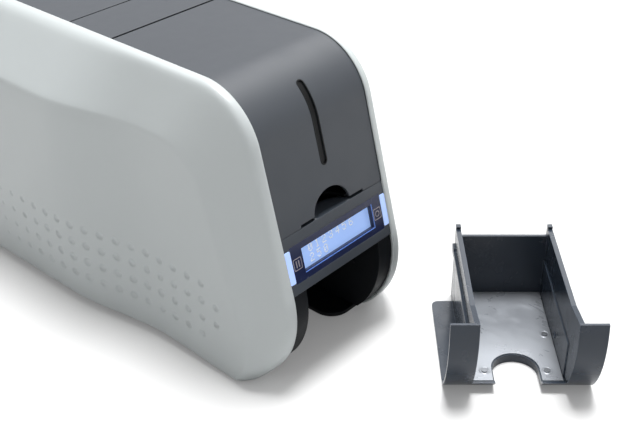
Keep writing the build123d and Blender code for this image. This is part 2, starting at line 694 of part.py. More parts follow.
def front_cover():
    """The cover over the card hopper, with finger notch, card slot and level window."""
    edge = BAR_HEIGHT + SEAT_GAP
    region = polygon(
        front_point(edge, -OPEN),
        front_point(edge, BAR_DEPTH),
        (FRONT_COVER_REAR, HEIGHT / 2),
        (FRONT_COVER_REAR, HEIGHT + OPEN),
        (-LENGTH, HEIGHT + OPEN),
    )
    body = hinged_cover(region, FRONT_HINGE_Y)
    body -= front_prism(Pos(0, edge) * Ellipse(NOTCH_WIDTH / 2, NOTCH_HEIGHT), -OPEN, BAR_DEPTH)
    body -= front_window(SLOT_WIDTH, 0, edge + SLOT_HEIGHT, -OPEN, MOVING_INSET + WELD)
    half = WINDOW_WIDTH / 2
    return body - slab(band(0, SKIRT_INSET, window_region()), WINDOW_X - half, WINDOW_X + half)


def level_window():
    """The clear strip set into the cover's slot."""
    half = WINDOW_WIDTH / 2
    depth = CORE_STEP + WINDOW_SUNK
    return slab(band(depth, depth + WINDOW_T, window_region()), WINDOW_X - half, WINDOW_X + half)


def hinge_pins():
    """Two pins for each hinged cover, fixed in the frames."""
    pins = [rod(EAR_OUT - EAR_T - WELD, FRAME_OUT, y, HINGE_Z, PIN_R) for y in (FRONT_HINGE_Y, LID_HINGE_Y)]
    return both(Part() + pins)


def release_box(grow, low, high):
    """A box around the release button, grown sideways."""
    half, deep = RELEASE_SIZE[0] / 2 + grow, RELEASE_SIZE[1] / 2 + grow
    return block(RELEASE_X - half, RELEASE_X + half, RELEASE_Y - deep, RELEASE_Y + deep, low, high)


def release_button():
    """The button that lets the lid go, kept in by a lip."""
    top = COVER_TOP + RELEASE_PROUD
    cap = fillet(release_box(0, top - RELEASE_CAP, top).edges().group_by(Axis.Z)[-1], BUTTON_CORNER)
    lip_top = HEIGHT - FIXED_INSET - FIXED_GAP
    return cap + release_box(RELEASE_LIP, lip_top - RELEASE_LIP, lip_top)


def top_bridge():
    """The fixed strip between the two covers, with the release button's housing."""
    region = rectangle(BRIDGE_FRONT, BRIDGE_REAR, HEIGHT / 2, HEIGHT + OPEN)
    body = slab(band(CORE_STEP, FIXED_INSET, region), -FIXED_HALF, FIXED_HALF)
    body += both(slab(band(CORE_STEP, SKIRT_INSET, region), FIXED_HALF - SKIRT, FIXED_HALF))
    under = HEIGHT - FIXED_INSET
    room = RELEASE_LIP + FIXED_GAP
    floor = COVER_TOP + RELEASE_PROUD - RELEASE_CAP - RELEASE_TRAVEL - FIXED_GAP
    body += release_box(room + RELEASE_WALL, floor - RELEASE_WALL, under)
    body -= release_box(room, floor, under)
    return body - release_box(FIXED_GAP, under - WELD, HEIGHT)


# ================================================================ control bar
def control_bar():
    """The bar across the front, hollow behind, with room for the display and two buttons."""
    sole = front_point(0, CORE_STEP)[1] - SEAT_GAP
    face = front_patch(0, BAR_HEIGHT, CORE_STEP, BAR_DEPTH) - rectangle(-LENGTH, LENGTH, 0, sole)
    body = slab(face, -FIXED_HALF, FIXED_HALF)
    body -= front_window(BEZEL_WIDTH, BEZEL_LOW, BEZEL_HIGH, 0, CORE_STEP + BEZEL_T)
    sight = (SCREEN_WIDTH + 2 * WELD, SCREEN_LOW - WELD, SCREEN_HIGH + WELD)
    body -= front_window(*sight, 0, SCREEN_SUNK + WELD)
    pocket = SCREEN_WIDTH + 2 * SCREEN_FRAME + 2 * FIXED_GAP
    body -= front_window(pocket, BAR_SOLE, BAR_HEIGHT - BAR_WALL, SCREEN_SUNK, BAR_DEPTH + 1)
    low, high = BUTTON_LOW - BUTTON_GAP, BUTTON_HIGH + BUTTON_GAP
    inner = BUTTON_OUT - BUTTON_WIDTH - BUTTON_GAP
    well = Pos((inner + CORE_HALF) / 2, (low + high) / 2) * Rectangle(CORE_HALF - inner, high - low)
    deep = BUTTON_SUNK + BUTTON_T + BUTTON_TRAVEL + BUTTON_GAP
    return body - both(front_prism(well, 0, deep))


def display_bezel():
    """The dark frame round the screen."""
    body = front_window(BEZEL_WIDTH, BEZEL_LOW, BEZEL_HIGH, CORE_STEP, CORE_STEP + BEZEL_T)
    return body - front_window(SCREEN_WIDTH, SCREEN_LOW, SCREEN_HIGH, 0, SCREEN_SUNK)


def display_screen():
    """The display glass behind the bezel."""
    edge = SCREEN_FRAME
    pane = (SCREEN_WIDTH + 2 * edge, SCREEN_LOW - edge, SCREEN_HIGH + edge)
    return front_window(*pane, SCREEN_SUNK, SCREEN_BACK)


def display_board():
    """The board that carries the display, with a connector."""
    width, low, high = DISPLAY_BOARD
    body = front_window(width, low, high, SCREEN_BACK, SCREEN_BACK + BOARD_T)
    return body + front_window(width / 4, low + BAR_WALL, 2 * low, SCREEN_BACK + BOARD_T, BAR_DEPTH - 1)


def front_button():
    """The right-hand tall button of the control bar."""
    shape = RectangleRounded(BUTTON_WIDTH, BUTTON_HIGH - BUTTON_LOW, BUTTON_CORNER)
    shape = Pos(BUTTON_OUT - BUTTON_WIDTH / 2, (BUTTON_LOW + BUTTON_HIGH) / 2) * shape
    return front_prism(shape, BUTTON_SUNK, BUTTON_SUNK + BUTTON_T)


# ================================================================ tray bay and card path
def cavity_ceiling():
    """The sheet over the tray bay, bent up as the front of the card chute."""
    line = ((CAVITY_FRONT, CAVITY_TOP), (CHUTE_FRONT - CHUTE_SLOPE, CAVITY_TOP), (CHUTE_FRONT, CHUTE_TOP))
    return slab(bent_strip(line, PLATE), -CAVITY_HALF, CAVITY_HALF)


def cavity_liner():
    """The rear wall of the tray bay, bent back as the rear of the card chute."""
    line = ((CAVITY_REAR, BASE_TOP), (CAVITY_REAR, CAVITY_TOP + CHUTE_BEND), (CHUTE_REAR, CHUTE_TOP))
    return slab(bent_strip(line, PLATE), -CAVITY_HALF, CAVITY_HALF)


def roller_opening(y, width):
    """The hole in the card guide that a roller shows through."""
    half = width / 2 + 1
    return block(-half, half, y - ROLLER_R, y + ROLLER_R, GUIDE_Z - 1, CARD_Z + 1)


def card_hopper():
    """The box that holds the stack of blank cards above the pick roller."""
    floor = block(-CAVITY_HALF, CAVITY_HALF, HOPPER_FRONT, HOPPER_REAR + PLATE, GUIDE_Z, CARD_Z)
    floor -= post(0, HOPPER_FRONT, GUIDE_Z - 1, CARD_Z + 1, FINGER_CUT)
    body = floor - roller_opening(PICK_Y, PICK_WIDTH)
    body += block(-CAVITY_HALF, CAVITY_HALF, HOPPER_REAR, HOPPER_REAR + PLATE, GATE_BOTTOM, HOPPER_TOP)
    wall = block(CARD_HALF, CARD_HALF + PLATE, LIP_Y - PLATE, HOPPER_REAR + PLATE, GUIDE_Z, HEIGHT)
    slot_top = CARD_Z + WEIGHT_LIFT + 2 * WEIGHT_T
    half = WEIGHT_SLOT / 2
    wall -= block(CARD_HALF - 1, CAVITY_HALF, WEIGHT_SLOT_Y - half, WEIGHT_SLOT_Y + half, CARD_Z, slot_top)
    lip = block(CARD_HALF - HOPPER_LIP, CARD_HALF + PLATE, LIP_Y - PLATE, LIP_Y, GUIDE_Z, HEIGHT)
    body += both(wall + lip)
    body -= block(-CARD_HALF, CARD_HALF, HOPPER_REAR - 1, HOPPER_REAR + PLATE + 1, CARD_Z, GATE_BOTTOM)
    return body & slab(core_face(HOPPER_ROOM), -CAVITY_HALF, CAVITY_HALF)


def card_weight():
    """The plate that rests on the cards and rises with the stack."""
    low = CARD_Z + SEAT_GAP
    half = CARD_HALF - CARD_T
    body = block(-half, half, LIP_Y + PLATE, HOPPER_REAR - PLATE, low, low + WEIGHT_T)
    tab = WEIGHT_SLOT / 2 - MOVING_GAP
    body += block(-WEIGHT_TAB, WEIGHT_TAB, WEIGHT_SLOT_Y - tab, WEIGHT_SLOT_Y + tab, low, low + WEIGHT_T)
    front, rear = PICK_Y + ROLLER_R, HOPPER_REAR - ROLLER_R
    return body - block(-half / 2, half / 2, front, rear, low - 1, low + WEIGHT_T + 1)


def card_guide():
    """The track that the cards run on, with holes for the feed and platen rollers."""
    body = block(-CAVITY_HALF, CAVITY_HALF, GUIDE_FRONT, GUIDE_REAR, GUIDE_Z, CARD_Z)
    body += both(block(CARD_HALF, CARD_HALF + PLATE, GUIDE_FRONT, RAIL_REAR, CARD_Z, CARD_Z + RAIL_HEIGHT))
    for y in (FEED_Y, PLATEN_Y):
        body -= roller_opening(y, FEED_WIDTH)
    return body


def divert_gate():
    """The flap that sends a finished card down to the tray."""
    body = rod(-FRAME_OUT, FRAME_OUT, GATE_Y, GUIDE_Z, GATE_R)
    top = CARD_Z - GATE_R / 2
    return body + block(-CARD_HALF, CARD_HALF, GATE_Y, GATE_Y + GATE_LENGTH, top - GATE_T, top)


def sleeve(y, width):
    """A rubber roller."""
    return slab(disc(y, ROLLER_Z, ROLLER_R) - disc(y, ROLLER_Z, SHAFT_R), -width / 2, width / 2)


def shaft(y):
    """A roller's shaft, running in both frames and carrying a gear on the right."""
    return rod(-FRAME_OUT - SHAFT_END, GEAR_END + WELD, y, ROLLER_Z, SHAFT_R)


def roller_bushes():
    """The bearings of the three rollers, one in each frame."""
    bushes = []
    for y in (PICK_Y, FEED_Y, PLATEN_Y):
        bush = rod(CAVITY_HALF, FRAME_OUT, y, ROLLER_Z, BUSH_R)
        bush += rod(FRAME_OUT, FRAME_OUT + BUSH_COLLAR, y, ROLLER_Z, BUSH_R + BUSH_COLLAR)
        bushes.append(bush - rod(CAVITY_HALF - 1, GEAR_X, y, ROLLER_Z, SHAFT_R + RUN))
    return both(Part() + bushes)


def pinch_holder():
    """The bridge over the feed roller that holds the pinch roller down."""
    low = PINCH_Z + PINCH_R + 1
    half = 2 * PLATE
    body = block(-CAVITY_HALF, CAVITY_HALF, FEED_Y - ROLLER_R, FEED_Y + ROLLER_R, low, low + PLATE)
    cheek = disc(FEED_Y, PINCH_Z, half) + rectangle(FEED_Y - half, FEED_Y + half, PINCH_Z, low + WELD)
    cheek -= disc(FEED_Y, PINCH_Z, PINCH_SHAFT_R + RUN)
    return body + both(slab(cheek, PINCH_CHEEK, PINCH_CHEEK + PLATE))


def pinch_roller():
    """The rubber roller above the feed roller."""
    ring = disc(FEED_Y, PINCH_Z, PINCH_R) - disc(FEED_Y, PINCH_Z, PINCH_SHAFT_R)
    return slab(ring, -PINCH_WIDTH / 2, PINCH_WIDTH / 2)


def pinch_shaft():
    """The steel shaft of the pinch roller."""
    end = PINCH_CHEEK + PLATE + 1
    return rod(-end, end, FEED_Y, PINCH_Z, PINCH_SHAFT_R)


# ================================================================ gears
def gear(teeth, phase, y, z, bore):
    """A spur gear on the right, with one tooth centred at the phase angle."""
    radius = MODULE * teeth / 2
    pitch = pi * MODULE
    points = []
    for i in range(teeth):
        middle = radians(phase) + 2 * pi * i / teeth
        root, tip = radius - DEDENDUM, radius + ADDENDUM
        corners = ((root, -TOOTH_ROOT), (radius, -TOOTH_PITCH), (tip, -TOOTH_TIP))
        corners += ((tip, TOOTH_TIP), (radius, TOOTH_PITCH), (root, TOOTH_ROOT))
        for reach, share in corners:
            angle = middle + share * pitch / radius
            points.append((y + reach * cos(angle), z + reach * sin(angle)))
    face = polygon(*points) - disc(y, z, bore)
    if radius > 2 * ROLLER_R + 2 * HUB_R:
        ring = (radius + HUB_R) / 2
        for i in range(WEB_HOLES):
            angle = 2 * pi * i / WEB_HOLES
            face -= disc(y + ring * cos(angle), z + ring * sin(angle), radius / 4)
    return slab(face, GEAR_X, GEAR_END)


def meshing(phase, teeth, other_teeth, direction):
    """The phase of a gear that meshes with a first gear lying in the given direction from it."""
    return direction + 180 + 180 / other_teeth - (phase - direction) * teeth / other_teeth


def feed_motor():
    """The stepper motor behind the right frame."""
    half = MOTOR_SIZE / 2
    can = rectangle(MOTOR_Y - half, MOTOR_Y + half, MOTOR_Z - half, MOTOR_Z + half)
    can = slab(can, CAVITY_HALF - MOTOR_LENGTH, CAVITY_HALF)
    can = chamfer(can.edges().filter_by(Axis.X), MOTOR_CORNER)
    can += rod(CAVITY_HALF - WELD, FRAME_OUT, MOTOR_Y, MOTOR_Z, MOTOR_PILOT_R)
    return can - rod(CAVITY_HALF - PLATE, GEAR_X, MOTOR_Y, MOTOR_Z, MOTOR_SHAFT_R + RUN)


def motor_pinion(phase):
    """The motor's pinion and shaft."""
    shaft_in = rod(CAVITY_HALF - PLATE + WELD, GEAR_END, MOTOR_Y, MOTOR_Z, MOTOR_SHAFT_R)
    return gear(PINION_TEETH, phase, MOTOR_Y, MOTOR_Z, MOTOR_SHAFT_R / 2) + shaft_in


# ================================================================ inside the lid
def ribbon_cassette():
    """Two side plates under the lid that hold the ribbon spools."""
    plate = polygon(
        (CASSETTE_FRONT, CASSETTE_LOW),
        (CASSETTE_REAR, CASSETTE_LOW),
        (CASSETTE_REAR, TIE_Z),
        (CASSETTE_REAR - SPOOL_FLANGE_R, COVER_UNDER),
        (CASSETTE_FRONT + SPOOL_FLANGE_R, COVER_UNDER),
        (CASSETTE_FRONT, TIE_Z),
    )
    for y, z in (TAKE_UP, SUPPLY):
        plate -= disc(y, z, SPOOL_JOURNAL_R + RUN)
    half, setback = CASSETTE_X + WELD, 3 * TIE_R
    ties = [rod(-half, half, y, TIE_Z, TIE_R) for y in (CASSETTE_FRONT + setback, CASSETTE_REAR - setback)]
    return both(slab(plate, CASSETTE_X, CASSETTE_X + CASSETTE_T)) + ties


def spool(centre):
    """A ribbon spool: core, two flanges and two journals."""
    half = SPOOL_WIDTH / 2
    body = rod(-half, half, *centre, SPOOL_CORE_R)
    body += both(rod(half - SPOOL_FLANGE_T, half, *centre, SPOOL_FLANGE_R))
    return body + rod(-CASSETTE_X - CASSETTE_T, CASSETTE_X + CASSETTE_T, *centre, SPOOL_JOURNAL_R)


def ribbon_roll(centre, radius):
    """The wound ribbon between a spool's flanges."""
    half = SPOOL_WIDTH / 2 - SPOOL_FLANGE_T
    return slab(disc(*centre, radius) - disc(*centre, SPOOL_CORE_R), -half, half)


def head_bracket():
    """The bracket that hangs the print head from the lid."""
    half = HEAD_WIDTH / 2 + 1
    top = HEAD_Z + HEAD_HEIGHT
    body = block(-half, half, HEAD_FRONT, HEAD_FRONT + PLATE, top, COVER_UNDER)
    body += block(-half, half, HEAD_FRONT, HEAD_FRONT + HEAD_LENGTH, top, top + PLATE)
    body += block(-half, half, HEAD_FRONT, HEAD_FRONT + HEAD_LENGTH, COVER_UNDER - PLATE, COVER_UNDER)
    return body


def print_head():
    """The thermal print head, with its heating edge over the platen roller."""
    top = HEAD_Z + HEAD_HEIGHT
    face = polygon(
        (HEAD_FRONT, HEAD_Z + PLATE),
        (PLATEN_Y - PLATE, HEAD_Z),
        (PLATEN_Y + PLATE, HEAD_Z),
        (HEAD_FRONT + HEAD_LENGTH, HEAD_Z + PLATE),
        (HEAD_FRONT + HEAD_LENGTH, top),
        (HEAD_FRONT, top),
    )
    return slab(face, -HEAD_WIDTH / 2, HEAD_WIDTH / 2)


# ================================================================ electronics
def main_board():
    """The control board on the base."""
    half = BOARD_WIDTH / 2
    return block(-half, half, BOARD_FRONT, BOARD_REAR, BOARD_Z, BOARD_Z + BOARD_T)


def board_components():
    """Chips, connectors and capacitors on the control board."""
    top = BOARD_Z + BOARD_T
    pieces = []
    for group, high in ((CHIPS, CHIP_T), (PLUGS, PLUG_T)):
        for x, along, wide, deep in group:
            pieces.append(Pos(x, BOARD_FRONT + along, top + high / 2) * Box(wide, deep, high))
    for x, along in CAPACITORS:
        pieces.append(post(x, BOARD_FRONT + along, top, top + CAPACITOR_T, CAPACITOR_R))
    return Part() + pieces


# ================================================================ card tray, drawn where it docks at y = 0
def tray_face(inset, end, top):
    """The tray's side silhouette: round nose, rounded lower corner, flat floor."""
    radius, small = TRAY_R - inset, TRAY_BOTTOM_R - inset
    high = 180 - degrees(asin((top - TRAY_CZ) / radius))
    sink = asin((TRAY_CZ - TRAY_BOTTOM_R) / (TRAY_R - TRAY_BOTTOM_R))
    corner = TRAY_CY - (TRAY_R - TRAY_BOTTOM_R) * cos(sink)
    turn = 180 + degrees(sink)
    nose = CenterArc((TRAY_CY, TRAY_CZ), radius, high, turn - high)
    heel = CenterArc((corner, TRAY_BOTTOM_R), small, turn, 270 - turn)
    floor = Polyline((corner, inset), (end, inset), (end, top), nose @ 0)
    return make_face(Curve() + [nose, heel, floor])


def tray_notch(grow, low, high):
    """The finger notch through the tray's floor, grown sideways."""
    half = TRAY_NOTCH + grow
    body = block(-half, half, -1, TRAY_NOTCH_DEEP, low, high)
    return body + post(0, TRAY_NOTCH_DEEP, low, high, half)


def output_tray():
    """The dark moulding: J-shaped skin, card channel, rails and finger notch."""
    reach = CHANNEL_END + TRAY_HEIGHT
    whole = tray_face(0, CHANNEL_END, TRAY_HEIGHT)
    skin = tray_face(0, TRAY_PLATE_END, TRAY_HEIGHT) - tray_face(TRAY_SKIN, reach, TRAY_HEIGHT + 1)
    body = slab(skin, -TRAY_WIDTH / 2, TRAY_WIDTH / 2)
    corners = body.edges().filter_by(Axis.Z).filter_by(lambda e: e.center().Y > TRAY_PLATE_END - WELD)
    body = fillet(corners, TRAY_PLATE_R)
    body -= block(-CHANNEL_HALF, CHANNEL_HALF, -OPEN, KINK, TRAY_LIP, TRAY_HEIGHT + 1)
    above = polygon((0, TRAY_HEIGHT), (KINK, WALL_TOP), (CHANNEL_END, WALL_TOP), (CHANNEL_END, TRAY_HEIGHT))
    side = slab(whole - above, CHANNEL_HALF, CHANNEL_OUT)
    side += block(CHANNEL_HALF, CHANNEL_OUT, CHANNEL_END - WELD, POST_END, 0, POST_TOP)
    side += block(CHANNEL_HALF - STEP, CHANNEL_HALF + WELD, STEP_FRONT, CHANNEL_END, CHANNEL_FLOOR, STEP_Z)
    side += slab(whole & rectangle(0, CHANNEL_END, *TRAY_RAIL), CHANNEL_OUT - WELD, CHANNEL_OUT + TRAY_RAIL_T)
    low, high = TRAY_RAIL[0] - 1, TRAY_RAIL[1] + 1
    side += block(CHANNEL_OUT - WELD, CHANNEL_OUT + TRAY_RAIL_T, *TRAY_BLOCK, low, high)
    side += rod(CHANNEL_HALF - STEP - WELD, CHANNEL_HALF + WELD, *TRAY_BOSS)
    body += both(side)
    inside = tray_face(TRAY_SKIN / 2, CHANNEL_END, TRAY_HEIGHT)
    floor = inside & rectangle(0, CHANNEL_END, CHANNEL_FLOOR - TRAY_SKIN, CHANNEL_FLOOR)
    body += slab(floor, -CHANNEL_HALF - WELD, CHANNEL_HALF + WELD)
    body += block(-CHANNEL_HALF - WELD, CHANNEL_HALF + WELD, CHANNEL_END - BACK_T, CHANNEL_END, 0, BACK_TOP)
    body += tray_notch(TRAY_SKIN, 0, CHANNEL_FLOOR) & slab(inside, -CHANNEL_HALF, CHANNEL_HALF)
    body -= tray_notch(0, -1, TRAY_LIP + 1)
    for x, y in TRAY_SCREWS:
        body -= post(x, y, TRAY_SKIN + WELD, CHANNEL_FLOOR + 1, TRAY_SHANK_R)
    return body


def tray_floor_plate():
    """The bright sheet on the channel's floor."""
    half = CHANNEL_HALF - STEP - TRAY_GAP
    rear = CHANNEL_END - BACK_T - TRAY_GAP
    body = block(-half, half, LINER_FRONT, rear, CHANNEL_FLOOR, CHANNEL_FLOOR + LINER_T)
    body -= tray_notch(LINER_T, 0, TRAY_LIP + 1)
    for x, y in TRAY_SCREWS:
        body -= post(x, y, CHANNEL_FLOOR - 1, TRAY_LIP + 1, TRAY_SHANK_R)
    return body


def tray_screws():
    """The three screws that hold the bright sheet."""
    top = CHANNEL_FLOOR + LINER_T
    screw = post(0, 0, top, top + TRAY_SCREW_T, TRAY_SCREW_R) + post(0, 0, TRAY_SKIN + 1, top, TRAY_SHANK_R)
    return Part() + [Pos(x, y) * screw for x, y in TRAY_SCREWS]


def beside(shape):
    """A tray piece moved from its drawing place to where the tray stands on the desk."""
    return Pos(TRAY_X, TRAY_Y) * Rot(0, 0, TRAY_TURN) * shape


# ================================================================ all pieces
os.makedirs("parts", exist_ok=True)

rear_idler_phase = 90.0
pinion_phase = meshing(rear_idler_phase, REAR_IDLER_TEETH, PINION_TEETH, 270.0)
platen_phase = meshing(rear_idler_phase, REAR_IDLER_TEETH, ROLLER_TEETH, 0.0)
feed_phase = meshing(rear_idler_phase, REAR_IDLER_TEETH, ROLLER_TEETH, 180.0)
front_idler_phase = meshing(feed_phase, ROLLER_TEETH, FRONT_IDLER_TEETH, 180.0)
pick_phase = meshing(front_idler_phase, FRONT_IDLER_TEETH, ROLLER_TEETH, 180.0)

right_panel = side_panel()
right_button = front_button()
lid_region = rectangle(LID_FRONT, LID_REAR, HEIGHT / 2, HEIGHT + OPEN)
power_port, *signal_ports = [port(spec) for spec in PORTS]

parts = {
    "right_side_panel": right_panel,
    "left_side_panel": mirror(right_panel, Plane.YZ),
    "rubber_feet": rubber_feet(),
    "panel_screws": panel_screws(),
    "right_frame": side_frame(True),
    "left_frame": mirror(side_frame(False), Plane.YZ),
    "base_plate": base_plate(),
    "board_standoffs": board_standoffs(),
    "rear_panel": rear_panel(),
    "rear_crossmember": rear_crossmember(),
    "top_bridge": top_bridge(),
    "release_button": release_button(),
    "front_cover": front_cover(),
    "level_window": level_window(),
    "rear_cover": hinged_cover(lid_region, LID_HINGE_Y),
    "hinge_pins": hinge_pins(),
    "control_bar": control_bar(),
    "display_bezel": display_bezel(),
    "display_screen": display_screen(),
    "display_board": display_board(),
    "right_button": right_button,
    "left_button": mirror(right_button, Plane.YZ),
    "cavity_ceiling": cavity_ceiling(),
    "cavity_liner": cavity_liner(),
    "card_hopper": card_hopper(),
    "card_weight": card_weight(),
    "card_guide": card_guide(),
    "divert_gate": divert_gate(),
    "pick_roller": sleeve(PICK_Y, PICK_WIDTH),
    "pick_shaft": shaft(PICK_Y),
    "pick_gear": gear(ROLLER_TEETH, pick_phase, PICK_Y, ROLLER_Z, SHAFT_R),
    "feed_roller": sleeve(FEED_Y, FEED_WIDTH),
    "feed_shaft": shaft(FEED_Y),
    "feed_gear": gear(ROLLER_TEETH, feed_phase, FEED_Y, ROLLER_Z, SHAFT_R),
    "platen_roller": sleeve(PLATEN_Y, FEED_WIDTH),
    "platen_shaft": shaft(PLATEN_Y),
    "platen_gear": gear(ROLLER_TEETH, platen_phase, PLATEN_Y, ROLLER_Z, SHAFT_R),
    "roller_bushes": roller_bushes(),
    "front_idler_gear": gear(FRONT_IDLER_TEETH, front_idler_phase, FRONT_IDLER_Y, ROLLER_Z, HUB_R + RUN),
    "rear_idler_gear": gear(REAR_IDLER_TEETH, rear_idler_phase, REAR_IDLER_Y, ROLLER_Z, HUB_R + RUN),
    "motor_pinion": motor_pinion(pinion_phase),
    "feed_motor": feed_motor(),
    "pinch_roller": pinch_roller(),
    "pinch_shaft": pinch_shaft(),
    "pinch_holder": pinch_holder(),
    "ribbon_cassette": ribbon_cassette(),
    "supply_spool": spool(SUPPLY),
    "supply_roll": ribbon_roll(SUPPLY, SUPPLY_ROLL_R),
    "take_up_spool": spool(TAKE_UP),
    "take_up_roll": ribbon_roll(TAKE_UP, TAKE_UP_ROLL_R),
    "head_bracket": head_bracket(),
    "print_head": print_head(),
    "main_board": main_board(),
    "board_components": board_components(),
    "power_socket": power_port,
    "data_ports": Part() + signal_ports,
    "power_switch": power_switch(),
    "output_tray": beside(output_tray()),
    "tray_floor_plate": beside(tray_floor_plate()),
    "tray_screws": beside(tray_screws()),
}

boxes = [shape.bounding_box() for shape in parts.values()]
middle_x = (min(box.min.X for box in boxes) + max(box.max.X for box in boxes)) / 2
middle_y = (min(box.min.Y for box in boxes) + max(box.max.Y for box in boxes)) / 2
print(f"printer middle to set middle: {middle_x:.5f} {middle_y:.5f}")

for name, shape in parts.items():
    export_step(Pos(-middle_x, -middle_y) * shape, f"parts/{name}.step")
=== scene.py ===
import json
from math import atan2, cos, pi, radians, sin, sqrt, tan

import bmesh
import bpy
from mathutils import Matrix, Vector


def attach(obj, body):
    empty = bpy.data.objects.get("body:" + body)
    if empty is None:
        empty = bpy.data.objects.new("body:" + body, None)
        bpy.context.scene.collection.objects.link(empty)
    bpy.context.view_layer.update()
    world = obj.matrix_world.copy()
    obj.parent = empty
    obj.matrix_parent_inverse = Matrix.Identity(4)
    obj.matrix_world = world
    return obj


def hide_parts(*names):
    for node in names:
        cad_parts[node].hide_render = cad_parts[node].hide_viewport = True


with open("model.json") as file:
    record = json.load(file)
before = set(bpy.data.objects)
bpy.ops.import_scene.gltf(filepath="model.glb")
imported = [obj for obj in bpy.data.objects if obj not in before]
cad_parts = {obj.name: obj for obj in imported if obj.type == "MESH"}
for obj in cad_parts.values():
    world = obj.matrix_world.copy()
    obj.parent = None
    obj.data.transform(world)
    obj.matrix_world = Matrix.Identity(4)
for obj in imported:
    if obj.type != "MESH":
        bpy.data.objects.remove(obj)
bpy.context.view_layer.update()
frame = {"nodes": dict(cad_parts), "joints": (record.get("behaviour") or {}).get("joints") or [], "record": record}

# ---------------------------------------------------------------- where things stand
HINGE_PLACE = next(j["pos_m"] for j in frame["joints"] if j["name"] == "front_cover_hinge")
HINGE_BACK = 0.044  # the cover's hinge line is this far in front of the printer's middle
MIDDLE = Vector((HINGE_PLACE[0], HINGE_PLACE[1] + HINGE_BACK, 0))
PRINTER = Matrix.Translation(MIDDLE) @ Matrix.Scale(0.001, 4)  # from millimetres on the printer
TRAY_PLACE, TRAY_TURN = (33, -305, 0), radians(-49)
TRAY = PRINTER @ Matrix.Translation(TRAY_PLACE) @ Matrix.Rotation(TRAY_TURN, 4, "Z")
RIGHT, LEFT = 1, -1
SIDES = ((RIGHT, "right"), (LEFT, "left"))

# ---------------------------------------------------------------- sizes in millimetres and degrees
SAME_POINT = 0.0005  # points closer than this become one

# Side panels. "Out" is measured sideways from the dark core, "inset" inwards from the rim's outline.
CORE_HALF = 50.0
REAR_Y = 184.0
HEIGHT = 205.0
PANEL_WALL = 2.2
SIDE_OUT = 36.5
RIM_ROLL = [(0, 0), (1.2, 0), (2.6, 0.12), (4.2, 0.42), (6, 1.05), (8, 2.2), (9.6, 3.55), (11, 5.1)]
CREASE_OUT, CREASE_INSET = 35.2, 39.0
CREASE_ROLL = [(35.7, 39.9), (36.1, 41.0), (36.35, 42.2), (36.5, 43.6)]
SLOPE_STEPS = 10
FULL_INSET = 41.0  # where the outline has taken its inner shape
LEAN, CREASE_LEAN = 14.5, 21.1
NOSE, CREASE_NOSE = (-115.0, 55.2, 69.0), (-120.1, 30.6, 40.0)  # centre y and z, and radius
FRONT_TOP_R, CREASE_TOP_R = 46.0, 37.0
REAR_TOP_R, REAR_FOOT_R, TOE_R = 24.0, 10.0, 5.0
REAR_DRAW = 24.0  # how far the rear moves forwards from the rim to the crease
BELLY = 2.5  # how much lower the nose hangs half-way between rim and side
FLOOR_R = 6.0  # rounding between the side and the lower edge
TOE_GAP = 0.6  # between the lower edge and the desk
ARCH = (-150.0, 165.0)  # the lower edge is lifted between these, most in the middle
ARCH_Z, ARCH_SLOPE, ARCH_FADE = 3.2, 70.0, 30.0  # the lift, its run-in, and the height where it has gone

# The side steps in towards the nose, later near the floor and deeper higher up.
STEP_FROM, STEP_LENGTH = 17.0, 90.0
STEP_LOW, STEP_HIGH, STEP_HIGH_Z = 11.0, 15.0, 120.0
STEP_LATE, STEP_LATE_Z = 9.0, 50.0
STEP_START = 6.0  # the rim's own width, which does not step in

# Points round a panel: twice as many in all as round the border of its dimpled field.
FLOOR_STEPS, TOE_STEPS, NOSE_STEPS = 168, 6, 18
LOW_FRONT_STEPS, FRONT_STEPS, FRONT_TOP_STEPS = 8, 20, 28
ROOF_STEPS, REAR_TOP_STEPS, REAR_STEPS, REAR_FOOT_STEPS = 120, 12, 14, 6
LOW_FRONT = 0.3  # share of the straight front that its lower run of points takes
FACE_RINGS = 10

# Dimples: the first one's place, the rows, how they fade towards the rear, and a cup's rings as shares of its
# radius and depth.
DIMPLE_Y, DIMPLE_Z = -133.5, 27.1
DIMPLE_PITCH, DIMPLE_COUNT = (13.6, 13.5), (21, 4)
DIMPLE_R, DIMPLE_DEPTH = 3.3, 1.15
DIMPLE_FADE, DIMPLE_FADE_LENGTH, DIMPLE_SMALLEST = 145.0, 125.0, 0.35
DIMPLE_CUP = [(1.4, 0.0), (1.06, 0.0), (0.98, 0.08), (0.86, 0.38), (0.66, 0.7), (0.4, 0.92), (0.16, 1.0)]
DIMPLE_CORNERS = 16
FRONT_CUP, FRONT_CUP_LENGTH = 0.86, 80.0  # the first cups' width as a share, and where it has grown to full

# The leaning front: its lower end as y and z, the way up it and the way into it.
FOOT = (-181.80, 72.48)
UP = (sin(radians(LEAN)), cos(radians(LEAN)))
INTO = (UP[1], -UP[0])
TOP_TANGENT = 101.26  # up the front, where the top corner starts
FACE_DEPTH = 0.8  # the covers lie this far below the rims

# The level window's slot in the front cover, and the rim round it.
SLOT_X, SLOT_HALF, SLOT_LOW, SLOT_LONG = 1.0, 2.2, 72.1, 56.6
SLOT_RIM, SLOT_RIM_PROUD, SLOT_RIM_THICK = 0.9, 0.15, 0.6

# A thin black strip beside the covers, painted shade for the gap between core and rim: just clear of them, in steps
# from the bar up the front and over the roof.
GAP_SHADE_IN, GAP_SHADE_PROUD, GAP_SHADE_THICK = 49.65, 0.2, 0.15
GAP_SHADE_STEP, GAP_SHADE_PLACES = 2.0, range(20, 216)

# The dished shelf under the finger notch: how far up the front, how wide, deep and thick.
SHELF_RISE, SHELF_HALF, SHELF_SUNK, SHELF_TILT = 40.4, 17.0, 2.4, 3.2
SHELF_FRONT, SHELF_DEEP, SHELF_WALL = 1.0, 12.5, 1.2

